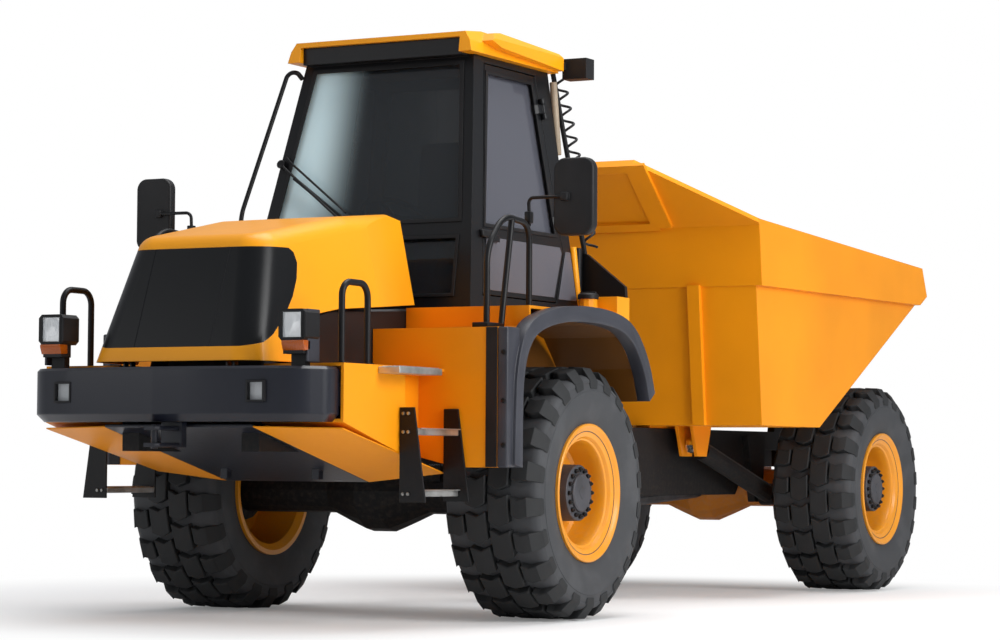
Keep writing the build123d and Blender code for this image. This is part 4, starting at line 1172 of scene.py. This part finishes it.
@dataclass
class CabTrim:
    """What is fixed to the cab's outside: wiper, grab rail, grey panels, handle, pipe and post."""

    panel_off: float = 3.0

    def _wiper(self) -> None:
        """Makes the wiper's two arms from the right pillar and its blade near the glass."""
        wiper = Shape().rod((-585, 6, 2440), (-585, -34, 2440), 24, 24, 3)
        wiper.tube([(-585, -26, 2440), (-540, -34, 2405), (-150, -30, 2112)], 7, 20, 3)
        wiper.tube([(-560, -20, 2478), (-515, -28, 2440), (-120, -26, 2150)], 6, 20, 3)
        wiper.prism([(-500, 2352), (-492, 2366), (-52, 2066), (-60, 2052)], Across.Y, -22, -2, 2)
        wiper.leant(Across.Y).finish("screen_wiper", SHOP.rail_black, "black_plastic")

    def _grab(self) -> None:
        """Makes the grab rail that stands off the right front pillar."""
        rail = Shape().tube([(-548, 4, 2925), (-560, -46, 2962), (-608, -58, 2950), (-775, -58, 2160),
                             (-775, -40, 2080), (-690, 4, 2070)], 13, 45, 4)
        rail.leant(Across.Y).finish("pillar_grab", SHOP.rail_black, "black_rail")

    def _panels(self) -> None:
        """Makes the grey panels on the door and behind it, and the handle and the latch."""
        door = [(-158, 1722), (-90, 2008), (757, 2008), (770, 1974), (622, 1722)]
        corner = [(672, 1715), (822, 1988), (878, 1988), (888, 1715)]
        for name, outline, body in (("door_lower_panel", door, Body.DOOR),
                                    ("corner_panel", corner, Body.FRONT)):
            panel = Shape().prism(outline, Across.X, 0.2, self.panel_off, 1.2, 1)
            panel.leant(Across.X).finish(name, SHOP.door_grey, "grey_plastic", body=body)
        grip = Shape().box((-4, -156, 2002), (22, -18, 2044), 9, 3)
        grip.box((-4, -150, 1690), (14, -128, 1728), 4, 2)
        grip.leant(Across.X).finish("door_handle", SHOP.trim_black, "black_plastic", body=Body.DOOR)

    def _seals(self) -> None:
        """Makes the rubber seals round the panes."""
        door = Shape().ring([(-105, 2060), (108, 2926), (646, 2926), (730, 2060)], Across.X, -1, 5, 20)
        door.leant(Across.X).finish("door_seal", SHOP.trim_black, "black_plastic", body=Body.DOOR)
        front = Shape().ring([(-588, 2080), (-474, 2968), (474, 2968), (588, 2080)], Across.Y, -5, 1, 22)
        front.ring([(-600, 1680), (-585, 2010), (585, 2010), (600, 1680)], Across.Y, -5, 1, 18)
        front.leant(Across.Y).finish("screen_seals", SHOP.trim_black, "black_plastic")

    def _behind(self) -> None:
        """Makes the pipe and the post behind the cab, and the tank's cap."""
        pipe = Shape().rod((575, 890, 2540), (552, 873, 2950), 21, 24, 3)
        pipe.finish("rear_pipe", SHOP.pipe_beige, "black_plastic")
        post = Shape().rod((692, 922, 1690), (664, 906, 2020), 20, 24, 3)
        post.finish("corner_post", SHOP.yellow, "cab_paint")
        profile = [(-6, 0.5), (26, 0.5), (28, 30), (25, 52), (18, 59), (-6, 59)]
        cap = Shape().spun(profile, (790, 850, 1729), (0, 0, 1), 40)
        cap.box((740, 842, 1752), (840, 858, 1764), 4, 2)
        cap.finish("filler_cap", SHOP.trim_black, "black_plastic")

    def build(self) -> None:
        """Makes all of it."""
        self._wiper()
        self._grab()
        self._panels()
        self._seals()
        self._behind()


@dataclass
class Underside:
    """The sloping shield under the engine and the sheets beside it."""

    front_y: float = -1955.0
    front_z: float = 975.0
    back_y: float = -890.0
    back_z: float = 712.0
    half: float = 430.0
    skin: float = 14.0
    foot_x: float = 275.0
    foot_top: float = 859.7
    edge_x: float = 866.0

    def build(self) -> None:
        """Makes the shield and a sheet on each side."""
        front, high, back, low = self.front_y, self.front_z, self.back_y, self.back_z
        shield = Shape()
        shield.prism([(front, high), (back, low), (back, low + self.skin), (front, high + self.skin)],
                     Across.X, -self.half, self.half, 2, 1)
        for x in (-self.foot_x, self.foot_x):
            for y in (-1150, -940):
                shield.box((x - 20, y, low + 12), (x + 20, y + 45, self.foot_top), 1, 1)
        shield.finish("belly_shield", SHOP.bumper, "bumper_dark", ["belly_plate"])
        inner, edge = self.half + 2, self.edge_x
        corners = [(inner, front, high), (inner, back, low), (edge, back, 758), (edge, -1850, 968)]
        sheets = Shape().sheet(corners, 6)
        sheets.mirrored().finish("belly_sheets", SHOP.body_yellow, "cab_paint")


@dataclass
class Mudguards:
    """The grey guards over the front tyres' outer halves, with their legs, bolts and edge strips."""

    low_x: float = 1172.3
    high_x: float = 1248.0
    thick: float = 82.0
    axle_z: float = 660.0
    wall_z: tuple[float, float] = (790.0, 1486.0)
    arch: tuple[tuple[float, float], ...] = (
        (-766, 790), (-766, 1000), (-762, 1230), (-700, 1400), (-570, 1490),
        (-233, 1548), (219, 1543), (461, 1490), (623, 1324), (690, 1150))

    def _smooth(self) -> list[tuple[float, float]]:
        """Rounds the arch's corners by cutting them three times over.

        Returns:
            The rounded line.
        """
        line = list(self.arch)
        for _ in range(3):
            cut = [line[0]]
            for (a, b), (c, d) in zip(line, line[1:]):
                cut += [(a + (c - a) * part, b + (d - b) * part) for part in (0.25, 0.75)]
            line = cut + [line[-1]]
        return line

    def build(self) -> None:
        """Makes both guards and what is screwed to them."""
        line = self._smooth()
        outer = []
        for y, z in reversed(line):
            grow = 1.0 + self.thick / math.hypot(y, z - self.axle_z)
            outer.append((y * grow, self.axle_z + (z - self.axle_z) * grow))
        guard = Shape().prism(line + outer, Across.X, self.low_x, self.high_x, 9, 2, 50.0)
        foot, top = self.wall_z
        guard.box((self.low_x, -900, foot), (self.high_x - 18, -770, top), 9, 3)
        guard.mirrored().finish("arch_guards", SHOP.guard_grey, "grey_plastic", ["mudguards"], 30.0)
        strip = Shape().box((1108, -901.5, foot + 2), (1171.5, -896.5, top - 1), 1.5, 1)
        strip.mirrored().finish("wall_strips", SHOP.trim_black, "black_plastic")
        bolts = Shape()
        for z in (900, 1120, 1360):
            bolts.nut((1210, -897, z), (1210, -909, z), 14)
        bolts.mirrored().finish("guard_bolts", SHOP.rail_black, "black_plastic")


@dataclass
class Steps:
    """The ladders: side plates, treads with non-slip rows, and bolts."""

    front_y: float = -1338.0
    rear_y: float = -908.0
    x_low: float = 875.0
    x_high: float = 960.0
    plank_end: float = -1130.0
    plate: tuple[tuple[float, float], ...] = ((873.5, 1080), (955, 1080), (1020, 620), (873.5, 620))
    tread_z: tuple[float, float] = (660.0, 960.0)
    plank_z: tuple[float, float] = (1239.0, 1271.0)

    def build(self) -> None:
        """Makes the plates, the treads, the planks and the bolts on both sides."""
        plates = Shape()
        for y in (self.front_y, self.rear_y):
            plates.prism(self.plate, Across.Y, y, y + 12, 2, 1)
        plates.mirrored().finish("ladder_plates", SHOP.rail_black, "black_rail", ["ladders"])
        treads = Shape()
        for z in self.tread_z:
            treads.box((self.x_low, self.front_y + 13, z - 14),
                       (self.x_high + 2, self.rear_y - 1, z + 16), 3, 1)
        under, top = self.plank_z
        treads.box((870.5, -1540, under), (992, self.plank_end, top), 3, 1)
        treads.mirrored().finish("step_treads", SHOP.tread_steel, "step_steel")
        rows = Shape()
        ladder = (self.front_y + 30, self.rear_y - 16)
        for z, start, end in ((676, *ladder), (976, *ladder), (top, -1525, self.plank_end - 15)):
            for k in range(4):
                x = self.x_low + 8 + k * 29
                rows.box((x, start, z - 1), (x + 12, end, z + 4), 1.5, 1)
        rows.mirrored().finish("step_rows", SHOP.tread_steel, "step_steel")
        bolts = Shape()
        for z in (620, 920, 1010):
            for x in (897, 925):
                bolts.nut((x, self.front_y + 1, z + 40), (x, self.front_y - 9, z + 40), 9)
        bolts.mirrored().finish("ladder_bolts", SHOP.bolt, "step_steel")


@dataclass
class CoilHose:
    """The coiled line beside the strut behind the cab."""

    low: Point = (684.6, 1099.0, 2028.0)
    high: Point = (528.6, 989.0, 2992.0)
    radius: float = 34.0
    line: float = 7.5
    turns: int = 11

    def build(self) -> None:
        """Makes the coil as one long tube round its middle line."""
        low, high = Vector(self.low), Vector(self.high)
        along = (high - low).normalized()
        side = along.orthogonal().normalized()
        other = along.cross(side)
        curve, spline = Shape.run("NURBS", self.line, 2, 3)
        steps = self.turns * 12
        spline.points.add(steps)
        for k, knot in enumerate(spline.points):
            angle = math.tau * k / 12
            off = side * math.cos(angle) + other * math.sin(angle)
            spot = low.lerp(high, k / steps) + off * self.radius
            knot.co = (*spot, 1.0)
        spline.order_u = 3
        spline.use_endpoint_u = True
        Shape().take(curve).finish("coiled_line", SHOP.trim_black, "black_plastic", ["coil_hose"], 60.0)


@dataclass
class Studio:
    """The floor, the lamps and the camera."""

    camera_at: Point = (7.9003755, -14.6748924, 0.8142823)
    yaw: float = 0.4982278
    pitch: float = 0.0500636
    roll: float = 0.0062962
    lens: float = 102.5196
    shade: tuple[float, float] = (2.4, 4.6)
    least_white: float = 0.15

    def _floor(self) -> None:
        """Lays the pale floor, white to the camera and shaded where the truck stands."""
        g = Graph("floor_white")
        patch = g.noise(0.6, 2.0)
        tint = g.mix((0.90, 0.90, 0.90), (0.94, 0.94, 0.94), patch)
        plain = g.node("ShaderNodeBsdfDiffuse", None, {"Color": tint})
        white = g.node("ShaderNodeEmission", None, {"Color": WHITE, "Strength": 1.0})
        away = g.node("ShaderNodeVectorMath", {"operation": "LENGTH"}, {0: g.place()}, "Value")
        seen = g.node("ShaderNodeLightPath", out="Is Camera Ray")
        share = seen * (away.between(*self.shade) * (1.0 - self.least_white) + self.least_white)
        shown = g.node("ShaderNodeMixShader", None, {0: share, 1: plain, 2: white})
        g.node("ShaderNodeOutputMaterial", None, {"Surface": shown})
        bm = bmesh.new()
        bmesh.ops.create_grid(bm, x_segments=1, y_segments=1, size=60.0)
        floor = made_of(bm, "floor", g.owner)

    def _sky(self) -> None:
        """Lights the scene from all round and shows white behind the truck."""
        world = bpy.data.worlds.new("studio")
        bpy.context.scene.world = world
        g = Graph(world)
        seen = g.node("ShaderNodeLightPath", out="Is Camera Ray")
        soft = g.node("ShaderNodeBackground", None, {"Color": (0.92, 0.95, 1.0, 1.0), "Strength": 0.40})
        white = g.node("ShaderNodeBackground", None, {"Color": WHITE, "Strength": 1.0})
        shown = g.node("ShaderNodeMixShader", None, {0: seen, 1: soft, 2: white})
        g.node("ShaderNodeOutputWorld", None, {"Surface": shown})

    def _lamp(self, name: str, at: Point, aim: Point, size: float, power: float) -> None:
        """Hangs one soft square lamp.

        Args:
            name: Its name.
            at: Where it hangs, in metres.
            aim: What it points at.
            size: Its side.
            power: Its power in watts.
        """
        light = bpy.data.lights.new(name, "AREA")
        light.shape = "SQUARE"
        light.size = size
        light.energy = power
        lamp = bpy.data.objects.new(name, light)
        lamp.location = at
        lamp.rotation_mode = "QUATERNION"
        lamp.rotation_quaternion = (Vector(aim) - Vector(at)).to_track_quat("-Z", "Y")
        link(lamp)

    def _camera(self) -> None:
        """Sets the camera where the picture was taken from."""
        data = bpy.data.cameras.new("camera")
        data.lens = self.lens
        data.sensor_width = 36.0
        data.sensor_fit = "HORIZONTAL"
        data.clip_end = 200.0
        camera = bpy.data.objects.new("camera", data)
        camera.location = self.camera_at
        flat = math.cos(self.pitch)
        aim = Vector((-math.sin(self.yaw) * flat, math.cos(self.yaw) * flat, math.sin(self.pitch)))
        camera.rotation_mode = "QUATERNION"
        camera.rotation_quaternion = aim.to_track_quat("-Z", "Y") @ Quaternion((0, 0, 1), self.roll)
        bpy.context.scene.camera = link(camera)

    def build(self) -> None:
        """Sets up the whole studio."""
        self._floor()
        self._sky()
        self._lamp("overhead", (1.0, 0.0, 9.0), (0, 0, 0.5), 6.0, 560.0)
        self._lamp("left_side", (10.0, -2.5, 5.0), (0.5, 0.0, 1.2), 5.0, 760.0)
        self._lamp("front_right", (-6.0, -10.0, 4.0), (0, -1.0, 1.2), 5.0, 90.0)
        bpy.context.scene.view_settings.view_transform = "Standard"
        self._camera()


def main() -> None:
    """Builds every part of the scene in order."""
    logging.basicConfig(level=logging.INFO, format="%(name)s %(message)s")
    for old in list(bpy.data.objects):
        bpy.data.objects.remove(old)
    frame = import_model()
    CadFinishes(frame["nodes"]).dress()
    for place, side, axle_y in (("front_left", 1, 0.0), ("front_right", -1, 0.0),
                                ("rear_left", 1, WHEELBASE), ("rear_right", -1, WHEELBASE)):
        Wheel(place, side, axle_y).build()
    for assembly in (Rails(), Mirrors(), Lamps(), CabInside(), CabTrim(), Underside(), Mudguards(),
                     Steps(), CoilHose(), Studio()):
        assembly.build()
        LOG.info("built %s", type(assembly).__name__)


if __name__ == "__main__":
    main()
